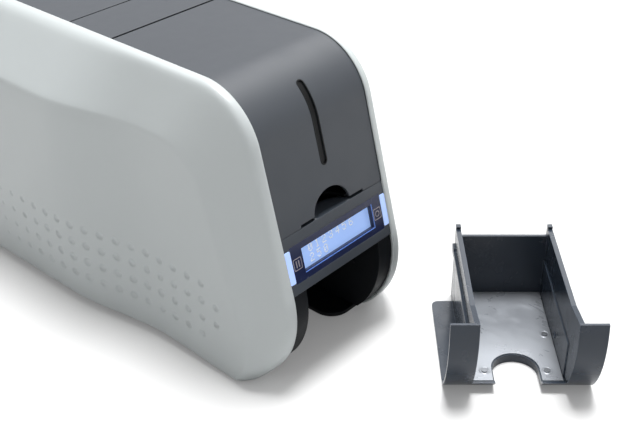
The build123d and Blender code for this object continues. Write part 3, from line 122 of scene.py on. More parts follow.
# The control bar. A rounded box is given by its half sizes and its corner's radius.
BAR_MIDDLE = 19.5
BEZEL_DEPTH, SCREEN_DEPTH = 0.8, 4.2
SIGN_PROUD, LINE_PROUD, DOT_PROUD = 0.12, 0.1, 0.05
MARK_THICK, SIGN_X = 0.3, 40.0
SIGN_FRAME = ((3.7, 4.0, 0.9), (3.25, 3.55, 0.7))
SIGN_RING = ((2.1, 2.1, 2.09), (1.6, 1.6, 1.59))
SIGN_BAR, SIGN_BAR_X = (0.42, 2.3, 0.2), (-1.1, 1.1)
# Two thin glowing lines below and right of the screen: a painted highlight on the lit edge of the display window.
WINDOW_HIGHLIGHT_LINES = (((35.2, 0.3, 0.25), (0.6, 11.2)), ((0.28, 8.6, 0.25), (35.5, 19.8)))  # boxes and middles
DIGIT_DOTS = {
    "0": "01110 10001 10011 10101 11001 10001 01110",
    "1": "00100 01100 00100 00100 00100 00100 01110",
    "2": "01110 10001 00001 00110 01000 10000 11111",
    "3": "01110 10001 00001 00110 00001 10001 01110",
    "4": "00010 00110 01010 10010 11111 00010 00010",
    "5": "11111 10000 11110 00001 00001 10001 01110",
    "6": "00110 01000 10000 11110 10001 10001 01110",
}
NUMBERS = (("0123456", 23.6), ("250", 16.4))  # each line and how far up the front it stands
NUMBERS_LEFT, DIGIT_PITCH = -25.0, 6.72
DOT_PITCH, DOT_BOX, DOT_THICK = (0.744, 0.837), (0.4, 0.44, 0.12), 0.1

# The card tray.
SHEET_TOP = 7.02  # just above the tray's bright floor
SURROUND_PLACES = ((21, 26), (-21, 26), (25.5, 65))
SURROUND_RINGS = ((4.0, 0.0), (3.7, 0.22), (3.3, 0.3), (2.95, 0.2), (2.75, 0.0))  # radius and height
SURROUND_CORNERS = 32

# ---------------------------------------------------------------- light and camera values
LIGHTS = {  # azimuth, elevation, strength and spread
    "overhead_light": (120, 80, 4.2, 22),
    "right_light": (102, 44, 1.2, 45),
    "front_light": (52, 40, 0.2, 36),
}
HORIZON, ZENITH, SKY_RISE = 0.13, 0.66, 1.8  # the studio's even light, weaker near the floor
FLOOR_HALF = 6.0  # metres
FLOOR_TONE, FLOOR_GLOW = 0.6, 0.16
CAMERA_TURN = (-48.41, 32.47, -0.29)  # azimuth, elevation and roll
CAMERA_PLACE = (-457.54, -565.7, 485.97)
LENS, SENSOR = 61.59, 36.0


# ---------------------------------------------------------------- shapes of the panels
def arc(centre_y, centre_z, radius, start, turn, steps):
    """Points along an arc of the side view, its end left out."""
    return [
        (centre_y + radius * cos(start + turn * i / steps), centre_z + radius * sin(start + turn * i / steps))
        for i in range(steps)
    ]


def run(a, b, steps):
    """Points along a straight run of the side view, its end left out."""
    return [(a[0] + (b[0] - a[0]) * i / steps, a[1] + (b[1] - a[1]) * i / steps) for i in range(steps)]


def meet(one, two):
    """Where two side-view lines (ny, nz, distance) meet."""
    det = one[0] * two[1] - two[0] * one[1]
    return ((one[2] * two[1] - two[2] * one[1]) / det, (one[0] * two[2] - two[0] * one[2]) / det)


def rounded(before, corner, after, radius):
    """Where a rounded corner starts and ends, its centre, first angle and turn."""
    a = (Vector(corner) - Vector(before)).normalized()
    b = (Vector(after) - Vector(corner)).normalized()
    bend = a.angle_signed(b)  # clockwise is positive
    reach = radius * tan(abs(bend) / 2)
    start, end = Vector(corner) - a * reach, Vector(corner) + b * reach
    side = Vector((-a.y, a.x)) * (-1 if bend > 0 else 1)
    centre = start + side * radius
    return start, end, centre, atan2(*(start - centre).yx), -bend


def panel_ring(inset, raised):
    """The points round one side view of a panel, from the rear foot forwards along the floor."""
    turn, extra = min(inset / FULL_INSET, 1.0), max(inset - FULL_INSET, 0.0)
    lean = radians(LEAN + (CREASE_LEAN - LEAN) * turn)
    nose_y, nose_z, nose_r = (a + (b - a) * turn for a, b in zip(NOSE, CREASE_NOSE))
    nose_r -= extra
    top_r = FRONT_TOP_R + (CREASE_TOP_R - FRONT_TOP_R) * turn - extra
    front = (-cos(lean), sin(lean), nose_r - cos(lean) * nose_y + sin(lean) * nose_z)
    nose_z -= BELLY * 4 * turn * (1 - turn)
    nose_y = (nose_r + sin(lean) * nose_z - front[2]) / cos(lean)
    foot = TOE_GAP + raised
    roof, floor = (0, 1, HEIGHT - inset), (0, 1, foot)
    back = (1, 0, REAR_Y - REAR_DRAW * turn - extra)
    toe_z = foot + TOE_R
    toe_y = nose_y - sqrt((nose_r - TOE_R) ** 2 - (nose_z - toe_z) ** 2)
    toe_turn = atan2(toe_z - nose_z, toe_y - nose_y) + 2 * pi
    nose_end = (nose_y - nose_r * cos(lean), nose_z + nose_r * sin(lean))
    rear_foot, front_top, rear_top = meet(back, floor), meet(front, roof), meet(roof, back)
    foot_end = rounded(rear_top, rear_foot, (toe_y, foot), REAR_FOOT_R)
    top_bend = rounded(nose_end, front_top, rear_top, top_r)
    rear_bend = rounded(front_top, rear_top, rear_foot, REAR_TOP_R)
    half_way = Vector(nose_end).lerp(Vector(top_bend[0]), LOW_FRONT)
    return (
        run(foot_end[1], (toe_y, foot), FLOOR_STEPS)
        + arc(toe_y, toe_z, TOE_R, 1.5 * pi, toe_turn - 1.5 * pi, TOE_STEPS)
        + arc(nose_y, nose_z, nose_r, toe_turn, pi - lean - toe_turn, NOSE_STEPS)
        + run(nose_end, half_way, LOW_FRONT_STEPS)
        + run(half_way, top_bend[0], FRONT_STEPS)
        + arc(*top_bend[2], top_r, top_bend[3], top_bend[4], FRONT_TOP_STEPS)
        + run(top_bend[1], rear_bend[0], ROOF_STEPS)
        + arc(*rear_bend[2], REAR_TOP_R, rear_bend[3], rear_bend[4], REAR_TOP_STEPS)
        + run(rear_bend[1], foot_end[0], REAR_STEPS)
        + arc(*foot_end[2], REAR_FOOT_R, foot_end[3], foot_end[4], REAR_FOOT_STEPS)
    )


def clamp(value, low=0.0, high=1.0):
    """The value, kept between two limits."""
    return min(max(value, low), high)


def floor_lift(out):
    """How far the lower edge rises where it rounds into the side."""
    reach = max(out - (SIDE_OUT - FLOOR_R), 0.0)
    return FLOOR_R - sqrt(FLOOR_R**2 - reach**2)


def smooth(share):
    """A soft rise from nought to one."""
    return share * share * (3 - 2 * share)


def step_in(y, z):
    """How far the side has stepped in at this place of the side view."""
    late = STEP_LATE * clamp(1 - z / STEP_LATE_Z)
    deep = STEP_LOW + (STEP_HIGH - STEP_LOW) * clamp(z / STEP_HIGH_Z)
    return deep * smooth(clamp((STEP_FROM - late - y) / STEP_LENGTH))


def arch_over(y, z):
    """The height of a point of the panel's lower edge, lifted by the arch."""
    lift = ARCH_Z * smooth(clamp(min(y - ARCH[0], ARCH[1] - y) / ARCH_SLOPE))
    return z + lift * clamp(1 - z / ARCH_FADE)


def panel_point(out, y, z):
    """A point of the right panel, in printer millimetres."""
    share = clamp((out - STEP_START) / (SIDE_OUT - STEP_START))
    return Vector((CORE_HALF + out - step_in(y, z) * share, y, arch_over(y, z)))


# ---------------------------------------------------------------- meshes and pieces
def finished(name, mesh, place, body, slot, instead_of=(), soft=True, flip=False, paint=None):
    """A mesh in millimetres made a piece: moved to its place, painted and set on its body."""
    matrix = place @ Matrix.Scale(-1, 4, (1, 0, 0)) if flip else place
    mesh.transform(matrix)
    if flip:
        mesh.flip_normals()
    mesh.polygons.foreach_set("use_smooth", [soft] * len(mesh.polygons))
    mesh.update()
    mesh.materials.clear()
    mesh.materials.append(paint or finish[slot])
    piece = bpy.data.objects.new(name, mesh)
    mesh.name = name
    bpy.context.scene.collection.objects.link(piece)
    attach(piece, body)
    if instead_of:
        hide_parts(*instead_of)
    return piece


def mesh_as_is(work, name):
    """The bmesh as a mesh, and the bmesh freed."""
    mesh = bpy.data.meshes.new(name)
    work.to_mesh(mesh)
    work.free()
    return mesh


def mesh_from(work, name):
    """The bmesh as a mesh, with equal points merged and its faces turned outwards."""
    bmesh.ops.remove_doubles(work, verts=work.verts, dist=SAME_POINT)
    bmesh.ops.recalc_face_normals(work, faces=work.faces)
    return mesh_as_is(work, name)


def band(work, one, other, turned=False):
    """A closed band of faces between two rings with as many points, facing the other way where turned."""
    count = len(one)
    for i in range(count):
        j = (i + 1) % count
        work.faces.new((one[i], other[i], other[j], one[j]) if turned else (one[i], one[j], other[j], other[i]))


def evaluated(source, name):
    """A plain mesh of an object with its modifiers applied; the object itself goes."""
    graph = bpy.context.evaluated_depsgraph_get()
    mesh = bpy.data.meshes.new_from_object(source.evaluated_get(graph))
    mesh.name = name
    bpy.data.objects.remove(source)
    return mesh


def sharpen(piece, degrees):
    """Shades a piece smooth except across edges that bend more than this."""
    piece.data.set_sharp_from_angle(angle=radians(degrees))


# ---------------------------------------------------------------- geometry node trees
def new_tree(name, inputs):
    """An empty geometry tree with named inputs and their first values."""
    tree = bpy.data.node_groups.new(name, "GeometryNodeTree")
    tree.interface.new_socket("Geometry", in_out="INPUT", socket_type="NodeSocketGeometry")
    for label, value in inputs.items():
        kind = {int: "NodeSocketInt", float: "NodeSocketFloat"}.get(type(value), "NodeSocketMaterial")
        socket = tree.interface.new_socket(label, in_out="INPUT", socket_type=kind)
        if kind != "NodeSocketMaterial":
            socket.default_value = value
    tree.interface.new_socket("Geometry", in_out="OUTPUT", socket_type="NodeSocketGeometry")
    return tree


def node(tree, kind, *sockets, **settings):
    """A new node; sockets pairs an input with a value or with another node's output."""
    made = tree.nodes.new(kind)
    for key, value in settings.items():
        setattr(made, key, value)
    for key, value in sockets:
        if isinstance(value, bpy.types.NodeSocket):
            tree.links.new(value, made.inputs[key])
        else:
            made.inputs[key].default_value = value
    return made


def maths(tree, operation, *values):
    """A maths node's output."""
    return node(tree, "ShaderNodeMath", *enumerate(values), operation=operation).outputs[0]


def vectors(tree, operation, *values):
    """A vector maths node's output."""
    return node(tree, "ShaderNodeVectorMath", *enumerate(values), operation=operation).outputs[0]


def grown(name, mesh, tree, **values):
    """The plain mesh that a tree makes from a starting mesh with these inputs."""
    seed = bpy.data.objects.new(name, mesh)
    bpy.context.scene.collection.objects.link(seed)
    modifier = seed.modifiers.new(name, "NODES")
    modifier.node_group = tree
    for item in tree.interface.items_tree:
        if item.in_out == "INPUT" and item.name.replace(" ", "_").lower() in values:
            modifier[item.identifier] = values[item.name.replace(" ", "_").lower()]
    result = evaluated(seed, name)
    bpy.data.meshes.remove(mesh)
    return result


def dimple_tile():
    """One square tile of the side with a cup of unit depth in its middle."""
    half = [pitch / 2 for pitch in DIMPLE_PITCH]
    edge = []
    for i in range(DIMPLE_CORNERS):
        side, along = divmod(i, DIMPLE_CORNERS // 4)
        corner = [(1, -1), (1, 1), (-1, 1), (-1, -1)][side]
        onward = [(0, 1), (-1, 0), (0, -1), (1, 0)][side]
        edge.append(((corner[0] + onward[0] * along / 2) * half[0], (corner[1] + onward[1] * along / 2) * half[1]))
    angles = [atan2(z, y) for y, z in edge]
    work = bmesh.new()
    inside = work.verts.layers.float.new("inside")
    last = [work.verts.new((y, z, 0)) for y, z in edge]
    for reach, depth in DIMPLE_CUP:
        now = [work.verts.new((DIMPLE_R * reach * cos(a), DIMPLE_R * reach * sin(a), -depth)) for a in angles]
        for vert in now:
            vert[inside] = 1.0
        band(work, last, now)
        last = now
    work.faces.new(last)
    return mesh_as_is(work, "dimple_tile")


def dimple_tree():
    """Tiles in rows and columns, their cups fading towards one end."""
    tree = new_tree(
        "dimple_rows",
        {"Columns": DIMPLE_COUNT[0], "Rows": DIMPLE_COUNT[1], "Column pitch": DIMPLE_PITCH[0],
         "Row pitch": DIMPLE_PITCH[1], "Depth": DIMPLE_DEPTH, "Fade from": DIMPLE_FADE,
         "Fade over": DIMPLE_FADE_LENGTH, "Smallest": DIMPLE_SMALLEST, "Finish": None},
    )
    given = node(tree, "NodeGroupInput").outputs
    wide = maths(tree, "MULTIPLY", maths(tree, "SUBTRACT", given["Columns"], 1.0), given["Column pitch"])
    tall = maths(tree, "MULTIPLY", maths(tree, "SUBTRACT", given["Rows"], 1.0), given["Row pitch"])
    grid = node(
        tree, "GeometryNodeMeshGrid", ("Size X", wide), ("Size Y", tall),
        ("Vertices X", given["Columns"]), ("Vertices Y", given["Rows"]),
    )
    moved = node(
        tree, "GeometryNodeTransform", ("Geometry", grid.outputs["Mesh"]),
        ("Translation", node(
            tree, "ShaderNodeCombineXYZ", (0, maths(tree, "MULTIPLY", wide, 0.5)),
            (1, maths(tree, "MULTIPLY", tall, 0.5)),
        ).outputs[0]),
    )
    place = node(tree, "GeometryNodeInputPosition").outputs[0]
    kept = node(
        tree, "GeometryNodeStoreNamedAttribute", ("Geometry", moved.outputs[0]), ("Name", "centre"),
        ("Value", place), data_type="FLOAT_VECTOR", domain="POINT",
    )
    spread = node(tree, "ShaderNodeSeparateXYZ", (0, place)).outputs
    fade = node(
        tree, "ShaderNodeMapRange", ("Value", spread[0]), ("From Min", given["Fade from"]),
        ("From Max", maths(tree, "ADD", given["Fade from"], given["Fade over"])), ("To Min", 1.0), ("To Max", 0.0),
        interpolation_type="SMOOTHSTEP",
    ).outputs[0]
    from_middle = maths(
        tree, "ABSOLUTE", maths(tree, "SUBTRACT", spread[1], maths(tree, "MULTIPLY", tall, 0.5))
    )
    outer_row = maths(tree, "GREATER_THAN", from_middle, given["Row pitch"])
    first = maths(tree, "LESS_THAN", spread[0], maths(tree, "MULTIPLY", given["Column pitch"], 0.5))
    trimmed = maths(tree, "SUBTRACT", 1.0, maths(tree, "MULTIPLY", outer_row, first))
    depth = maths(tree, "MULTIPLY", maths(tree, "MULTIPLY", given["Depth"], fade), trimmed)
    placed = node(
        tree, "GeometryNodeInstanceOnPoints", ("Points", kept.outputs[0]), ("Instance", given["Geometry"]),
        ("Scale", node(tree, "ShaderNodeCombineXYZ", (0, 1.0), (1, 1.0), (2, depth)).outputs[0]),
    )
    real = node(tree, "GeometryNodeRealizeInstances", ("Geometry", placed.outputs[0]))
    centre = node(tree, "GeometryNodeInputNamedAttribute", ("Name", "centre"), data_type="FLOAT_VECTOR")
    inner = node(tree, "GeometryNodeInputNamedAttribute", ("Name", "inside"), data_type="FLOAT")
    along = node(tree, "ShaderNodeSeparateXYZ", (0, centre.outputs[0])).outputs[0]
    width = node(
        tree, "ShaderNodeMapRange", ("Value", along), ("From Min", given["Fade from"]),
        ("From Max", maths(tree, "ADD", given["Fade from"], given["Fade over"])), ("To Min", 1.0),
        ("To Max", given["Smallest"]), interpolation_type="SMOOTHSTEP",
    ).outputs[0]
    front_width = node(
        tree, "ShaderNodeMapRange", ("Value", along), ("From Min", 0.0), ("From Max", FRONT_CUP_LENGTH),
        ("To Min", FRONT_CUP), ("To Max", 1.0),
    ).outputs[0]
    shrink = maths(tree, "SUBTRACT", maths(tree, "MULTIPLY", width, front_width), 1.0)
    reach = vectors(tree, "SUBTRACT", place, centre.outputs[0])
    flat = vectors(tree, "MULTIPLY", reach, (1.0, 1.0, 0.0))
    pull = node(tree, "ShaderNodeVectorMath", (0, flat), ("Scale", shrink), operation="SCALE").outputs[0]
    narrowed = node(
        tree, "GeometryNodeSetPosition", ("Geometry", real.outputs[0]),
        ("Selection", maths(tree, "GREATER_THAN", inner.outputs[0], 0.5)), ("Offset", pull),
    )
    joined = node(tree, "GeometryNodeMergeByDistance", ("Geometry", narrowed.outputs[0]), ("Distance", 0.01))
    painted = node(
        tree, "GeometryNodeSetMaterial", ("Geometry", joined.outputs[0]), ("Material", given["Finish"])
    )
    node(tree, "NodeGroupOutput", (0, painted.outputs[0]))
    return tree


def scatter_tree():
    """One part repeated at every point of the starting mesh."""
    tree = new_tree("repeated_parts", {"Size": 1.0, "Finish": None})
    tree.interface.new_socket("Part", in_out="INPUT", socket_type="NodeSocketObject")
    given = node(tree, "NodeGroupInput").outputs
    part = node(tree, "GeometryNodeObjectInfo", ("Object", given["Part"]))
    placed = node(
        tree, "GeometryNodeInstanceOnPoints", ("Points", given["Geometry"]), ("Instance", part.outputs["Geometry"]),
        ("Scale", node(tree, "ShaderNodeCombineXYZ", *[(i, given["Size"]) for i in range(3)]).outputs[0]),
    )
    real = node(tree, "GeometryNodeRealizeInstances", ("Geometry", placed.outputs[0]))
    painted = node(tree, "GeometryNodeSetMaterial", ("Geometry", real.outputs[0]), ("Material", given["Finish"]))
    node(tree, "NodeGroupOutput", (0, painted.outputs[0]))
    return tree


# ---------------------------------------------------------------- shader groups
def new_group(name, inputs, outputs):
    """An empty shader group with named inputs and outputs."""
    group = bpy.data.node_groups.new(name, "ShaderNodeTree")
    for label, value in inputs.items():
        kind = "NodeSocketColor" if isinstance(value, tuple) else "NodeSocketFloat"
        socket = group.interface.new_socket(label, in_out="INPUT", socket_type=kind)
        socket.default_value = value
    for label, kind in outputs.items():
        group.interface.new_socket(label, in_out="OUTPUT", socket_type=kind)
    return group, node(group, "NodeGroupInput").outputs


def moulded_group():
    """Moulded or milled stuff: slightly uneven colour and gloss, and a fine grain."""
    group, given = new_group(
        "moulded_surface",
        {"Light tone": (1, 1, 1, 1), "Dark tone": (0, 0, 0, 1), "Patch scale": 20.0, "Grain scale": 2500.0,
         "Rough low": 0.4, "Rough high": 0.5, "Stretch": 1.0},
        {"Colour": "NodeSocketColor", "Roughness": "NodeSocketFloat", "Grain": "NodeSocketFloat"},
    )
    where = node(group, "ShaderNodeTexCoord").outputs["Object"]
    stretched = vectors(
        group, "MULTIPLY", where,
        node(group, "ShaderNodeCombineXYZ", (0, given["Stretch"]), (1, 1.0), (2, 1.0)).outputs[0],
    )
    patches = node(
        group, "ShaderNodeTexNoise", ("Vector", stretched), ("Scale", given["Patch scale"]), ("Detail", 4.0),
        ("Roughness", 0.6),
    ).outputs[0]
    colour = node(
        group, "ShaderNodeMix", (0, patches), (6, given["Dark tone"]), (7, given["Light tone"]), data_type="RGBA"
    ).outputs[2]
    gloss = node(
        group, "ShaderNodeTexNoise", ("Vector", where),
        ("Scale", maths(group, "MULTIPLY", given["Patch scale"], 3.7)), ("Detail", 3.0),
    ).outputs[0]
    rough = node(
        group, "ShaderNodeMapRange", ("Value", gloss), ("From Min", 0.3), ("From Max", 0.7),
        ("To Min", given["Rough low"]), ("To Max", given["Rough high"]),
    ).outputs[0]
    grain = node(
        group, "ShaderNodeTexNoise", ("Vector", stretched), ("Scale", given["Grain scale"]), ("Detail", 2.0),
        ("Roughness", 0.7),
    ).outputs[0]
    node(group, "NodeGroupOutput", ("Colour", colour), ("Roughness", rough), ("Grain", grain))
    return group


def edge_group():
    """Rounded edges that catch the light: a rounded normal, and a mask along the edges for a painted highlight."""
    group, given = new_group(
        "soft_edges", {"Radius": 0.0004, "Grain": 0.5, "Grain depth": 0.00002},
        {"Normal": "NodeSocketVector", "Edge": "NodeSocketFloat"},
    )
    rounded_normal = node(group, "ShaderNodeBevel", ("Radius", given["Radius"]), samples=6).outputs[0]
    bumped = node(
        group, "ShaderNodeBump", ("Strength", 1.0), ("Distance", given["Grain depth"]),
        ("Height", given["Grain"]), ("Normal", rounded_normal),
    ).outputs[0]
    plain = node(group, "ShaderNodeNewGeometry").outputs["Normal"]
    facing = node(group, "ShaderNodeVectorMath", (0, rounded_normal), (1, plain), operation="DOT_PRODUCT")
    edge = node(
        group, "ShaderNodeMapRange", ("Value", facing.outputs["Value"]), ("From Min", 0.995), ("From Max", 0.8),
        interpolation_type="SMOOTHSTEP",
    ).outputs[0]
    node(group, "NodeGroupOutput", ("Normal", bumped), ("Edge", edge))
    return group


def smudge_group():
    """Wipe marks and finger smears on glossy things, as a mask."""
    group, given = new_group(
        "wipe_marks", {"Scale": 30.0, "Amount": 0.5, "Stretch": 4.0}, {"Mask": "NodeSocketFloat"}
    )
    where = node(group, "ShaderNodeTexCoord").outputs["Object"]
    stretched = vectors(
        group, "MULTIPLY", where,
        node(group, "ShaderNodeCombineXYZ", (0, given["Stretch"]), (1, 1.0), (2, 1.0)).outputs[0],
    )
    smear = node(
        group, "ShaderNodeTexNoise", ("Vector", stretched), ("Scale", given["Scale"]), ("Detail", 5.0),
        ("Roughness", 0.62), ("Distortion", 1.2),
    ).outputs[0]
    mask = node(
        group, "ShaderNodeMapRange", ("Value", smear), ("From Min", 0.46), ("From Max", 0.68), ("To Min", 0.0),
        ("To Max", given["Amount"]), interpolation_type="SMOOTHSTEP",
    ).outputs[0]
    node(group, "NodeGroupOutput", ("Mask", mask))
    return group


moulded, edges, smudges = moulded_group(), edge_group(), smudge_group()


def grey(value, tint=0.0):
    """A grey, slightly bluish where tint is above zero."""
    return (value * (1 - tint), value, value * (1 + 1.6 * tint), 1)


def surface(name, light, dark, rough, metal=0.0, patch=18.0, grain=2600.0, depth=0.02, edge=0.35, lit_edge=0.15,
            stretch=1.0, smudge=0.0, smudge_scale=30.0, **sockets):
    """A finish: uneven colour and gloss, fine grain, rounded edges lightened by a painted highlight and, where asked,
    wipe marks.
    """
    material = bpy.data.materials.new(name)
    material.use_nodes = True
    tree = material.node_tree
    shader = tree.nodes["Principled BSDF"]
    base = node(tree, "ShaderNodeGroup", node_tree=moulded)
    for label, value in (("Light tone", light), ("Dark tone", dark), ("Patch scale", patch),
                         ("Grain scale", grain), ("Rough low", rough[0]), ("Rough high", rough[1]),
                         ("Stretch", stretch)):
        base.inputs[label].default_value = value
    rim = node(tree, "ShaderNodeGroup", node_tree=edges)
    rim.inputs["Radius"].default_value = edge / 1000
    rim.inputs["Grain depth"].default_value = depth / 1000
    tree.links.new(base.outputs["Grain"], rim.inputs["Grain"])
    tree.links.new(rim.outputs["Normal"], shader.inputs["Normal"])
    # Painted highlight: the colour is lightened along the edges, as much as lit_edge asks.
    edge_highlight_tone = tuple(min(c * (1 + 2.5 * lit_edge) + 0.05 * lit_edge, 1) for c in light[:3]) + (1,)
    painted_edge_highlight = maths(tree, "MULTIPLY", rim.outputs["Edge"], lit_edge * 3)
    colour = node(
        tree, "ShaderNodeMix", (0, painted_edge_highlight), (6, base.outputs["Colour"]), (7, edge_highlight_tone), data_type="RGBA"
    ).outputs[2]
    roughness = base.outputs["Roughness"]
    if smudge:
        marks = node(tree, "ShaderNodeGroup", node_tree=smudges)
        for label, value in (("Scale", smudge_scale), ("Amount", smudge), ("Stretch", 2.2)):
            marks.inputs[label].default_value = value
        roughness = maths(tree, "ADD", roughness, marks.outputs[0])
    tree.links.new(colour, shader.inputs["Base Color"])
    tree.links.new(roughness, shader.inputs["Roughness"])
    shader.inputs["Metallic"].default_value = metal
    for label, value in sockets.items():
        shader.inputs[label.replace("_", " ").title().replace("Ior", "IOR")].default_value = value
    return material


# ---------------------------------------------------------------- finishes
finish = {
    "white_panel": surface("white_panel", (0.505, 0.54, 0.545, 1), (0.48, 0.515, 0.52, 1), (0.36, 0.44), patch=9,
                           grain=3400, depth=0.012, edge=0.6, lit_edge=0.0),
    "charcoal": surface("charcoal", grey(0.046, 0.15), grey(0.040, 0.15), (0.4, 0.48), patch=14, depth=0.02,
                        edge=0.5),
    "bar_charcoal": surface("bar_charcoal", grey(0.043, 0.18), grey(0.037, 0.18), (0.38, 0.46), edge=0.5),
    "inner_black": surface("inner_black", grey(0.005, 0.2), grey(0.004, 0.2), (0.5, 0.6), edge=0.3,
                           lit_edge=0.05, specular_ior_level=0.12),
    "bezel": surface("bezel", (0.012, 0.018, 0.06, 1), (0.010, 0.015, 0.05, 1), (0.14, 0.2), edge=0.25,
                     smudge=0.12, specular_ior_level=0.4),
    "screen": surface("screen", (0.28, 0.40, 0.72, 1), (0.25, 0.37, 0.68, 1), (0.2, 0.28), patch=30,
                      emission_color=(0.30, 0.45, 0.80, 1), emission_strength=0.7),
    "button_light": surface("button_light", (0.36, 0.48, 0.80, 1), (0.33, 0.45, 0.78, 1), (0.3, 0.38), patch=60,
                            emission_color=(0.38, 0.52, 0.86, 1), emission_strength=0.55),
    "window": surface("window", grey(0.004, 0.1), grey(0.003, 0.1), (0.3, 0.4), edge=0.3, lit_edge=0.0,
                      specular_ior_level=0.15),
    # The tray's edges get the strongest painted highlight of all the finishes.
    "tray_black": surface("tray_black", grey(0.034, 0.3), grey(0.028, 0.3), (0.2, 0.27), patch=22,
                          depth=0.012, edge=0.5, lit_edge=0.6, smudge=0.05, specular_ior_level=0.38),
    "tray_sheet": surface("tray_sheet", grey(0.36, 0.06), grey(0.22, 0.06), (0.24, 0.34), metal=0.35, patch=20,
                          grain=900, depth=0.004, edge=0.4, smudge=0.15, smudge_scale=40),
    "steel": surface("steel", grey(0.62), grey(0.54), (0.2, 0.3), metal=1.0, patch=60, stretch=0.1, depth=0.004),
    "zinc": surface("zinc", grey(0.55, 0.02), grey(0.45, 0.02), (0.34, 0.44), metal=1.0, patch=90, depth=0.006),
    "roller_rubber": surface("roller_rubber", grey(0.035), grey(0.026), (0.6, 0.7), patch=80, depth=0.03),
    "foot_rubber": surface("foot_rubber", grey(0.022), grey(0.016), (0.7, 0.8), patch=90, depth=0.04),
    "gear_plastic": surface("gear_plastic", (0.72, 0.68, 0.55, 1), (0.66, 0.62, 0.5, 1), (0.35, 0.45), patch=60,
                            subsurface_weight=0.15),
    "bush_plastic": surface("bush_plastic", (0.55, 0.5, 0.38, 1), (0.5, 0.45, 0.34, 1), (0.4, 0.5), patch=80),
    "board_green": surface("board_green", (0.015, 0.12, 0.04, 1), (0.01, 0.085, 0.03, 1), (0.25, 0.4), patch=220),
    "chip_black": surface("chip_black", grey(0.025), grey(0.018), (0.45, 0.6), patch=150),
    "spool_grey": surface("spool_grey", grey(0.35), grey(0.31), (0.4, 0.5), patch=40),
    "ribbon": surface("ribbon", (0.02, 0.018, 0.03, 1), (0.012, 0.011, 0.02, 1), (0.14, 0.22), patch=40, stretch=0.2),
    "head_ceramic": surface("head_ceramic", (0.5, 0.42, 0.33, 1), (0.44, 0.37, 0.29, 1), (0.25, 0.35), patch=60),
    "port_metal": surface("port_metal", grey(0.5), grey(0.42), (0.28, 0.38), metal=0.9, patch=90, depth=0.005),
    "motor_body": surface("motor_body", grey(0.4), grey(0.33), (0.35, 0.45), metal=0.8, patch=60, depth=0.006),
}
lit_marks = surface("lit_marks", (0.75, 0.80, 0.9, 1), (0.7, 0.75, 0.88, 1), (0.3, 0.4),
                    emission_color=(0.72, 0.8, 0.95, 1), emission_strength=0.3)
printed_marks = surface("printed_marks", (0.30, 0.27, 0.30, 1), (0.26, 0.23, 0.26, 1), (0.35, 0.45), patch=200)
screw_heads = surface("screw_heads", grey(0.2, 0.06), grey(0.13, 0.06), (0.26, 0.36), metal=0.5, patch=300)
# A glowing blue for the painted highlight on the lit edge of the display window.
blue_line = surface("blue_line", (0.08, 0.17, 0.50, 1), (0.07, 0.15, 0.45, 1), (0.3, 0.4),
                    emission_color=(0.08, 0.2, 0.62, 1), emission_strength=0.5)
for part in frame["record"]["subparts"]:
    cad = frame["nodes"][part["node"]]
    cad.data.materials.clear()
    cad.data.materials.append(finish[part["material_slot"]])
frame["nodes"]["tray_screws"].data.materials[0] = screw_heads


# ---------------------------------------------------------------- side panels with their dimples
def dimpled_field(work):
    """The rows of dimples, laid on the side."""
    field = grown(
        "dimple_field", dimple_tile(), dimple_tree(), columns=DIMPLE_COUNT[0], rows=DIMPLE_COUNT[1],
        column_pitch=DIMPLE_PITCH[0], row_pitch=DIMPLE_PITCH[1], depth=DIMPLE_DEPTH, fade_from=DIMPLE_FADE,
        fade_over=DIMPLE_FADE_LENGTH, smallest=DIMPLE_SMALLEST, finish=finish["white_panel"],
    )
    work.from_mesh(field)
    bpy.data.meshes.remove(field)
    for vert in work.verts:
        y, z, sunk = vert.co
        vert.co = panel_point(SIDE_OUT, DIMPLE_Y + y, DIMPLE_Z + z) + Vector((sunk, 0, 0))


def field_border():
    """The points round the dimpled field, in the order of a panel's rings."""
    left, low = DIMPLE_Y - DIMPLE_PITCH[0] / 2, DIMPLE_Z - DIMPLE_PITCH[1] / 2
    right, high = left + DIMPLE_COUNT[0] * DIMPLE_PITCH[0], low + DIMPLE_COUNT[1] * DIMPLE_PITCH[1]
    per_tile = DIMPLE_CORNERS // 4
    across, upright = DIMPLE_COUNT[0] * per_tile, DIMPLE_COUNT[1] * per_tile
    return (
        run((right, low), (left, low), across) + run((left, low), (left, high), upright)
        + run((left, high), (right, high), across) + run((right, high), (right, low), upright)
    )


def panel_profile():
    """Out and inset from the rim over the slope and the crease to the side."""
    out, inset = RIM_ROLL[-1]
    shares = [i / SLOPE_STEPS for i in range(1, SLOPE_STEPS + 1)]
    slope = [(out + (CREASE_OUT - out) * s, inset + (CREASE_INSET - inset) * s) for s in shares]
    return RIM_ROLL + slope + CREASE_ROLL


def side_face(work, edge, inset):
    """The plain part of the side, from its edge in to the dimpled field."""
    outer, border = panel_ring(inset, floor_lift(SIDE_OUT))[::2], field_border()
    before = edge
    for k in range(1, FACE_RINGS + 1):
        share = k / FACE_RINGS
        now = [
            work.verts.new(panel_point(SIDE_OUT, ya + (yb - ya) * share, za + (zb - za) * share))
            for (ya, za), (yb, zb) in zip(outer, border)
        ]
        if k > 1:
            band(work, before, now)
        else:
            for i in range(len(now)):
                j = (i + 1) % len(now)
                a, b, c = before[2 * i], before[2 * i + 1], before[2 * j]
                work.faces.new((a, b, now[i]))
                work.faces.new((b, c, now[j], now[i]))
        before = now


def side_panel_mesh():
    """The right panel's skin: rim, slope, crease, side and dimpled field, as one sheet."""
    work = bmesh.new()
    dimpled_field(work)
    profile = panel_profile()
    rings = []
    for out, inset in profile:
        rings.append([work.verts.new(panel_point(out, y, z)) for y, z in panel_ring(inset, floor_lift(out))])
    for a, b in zip(rings, rings[1:]):
        band(work, a, b)
    side_face(work, rings[-1], profile[-1][1])
    mesh = mesh_from(work, "side_skin")
    if sum(p.normal.x * p.area for p in mesh.polygons) < 0:
        mesh.flip_normals()
    return mesh


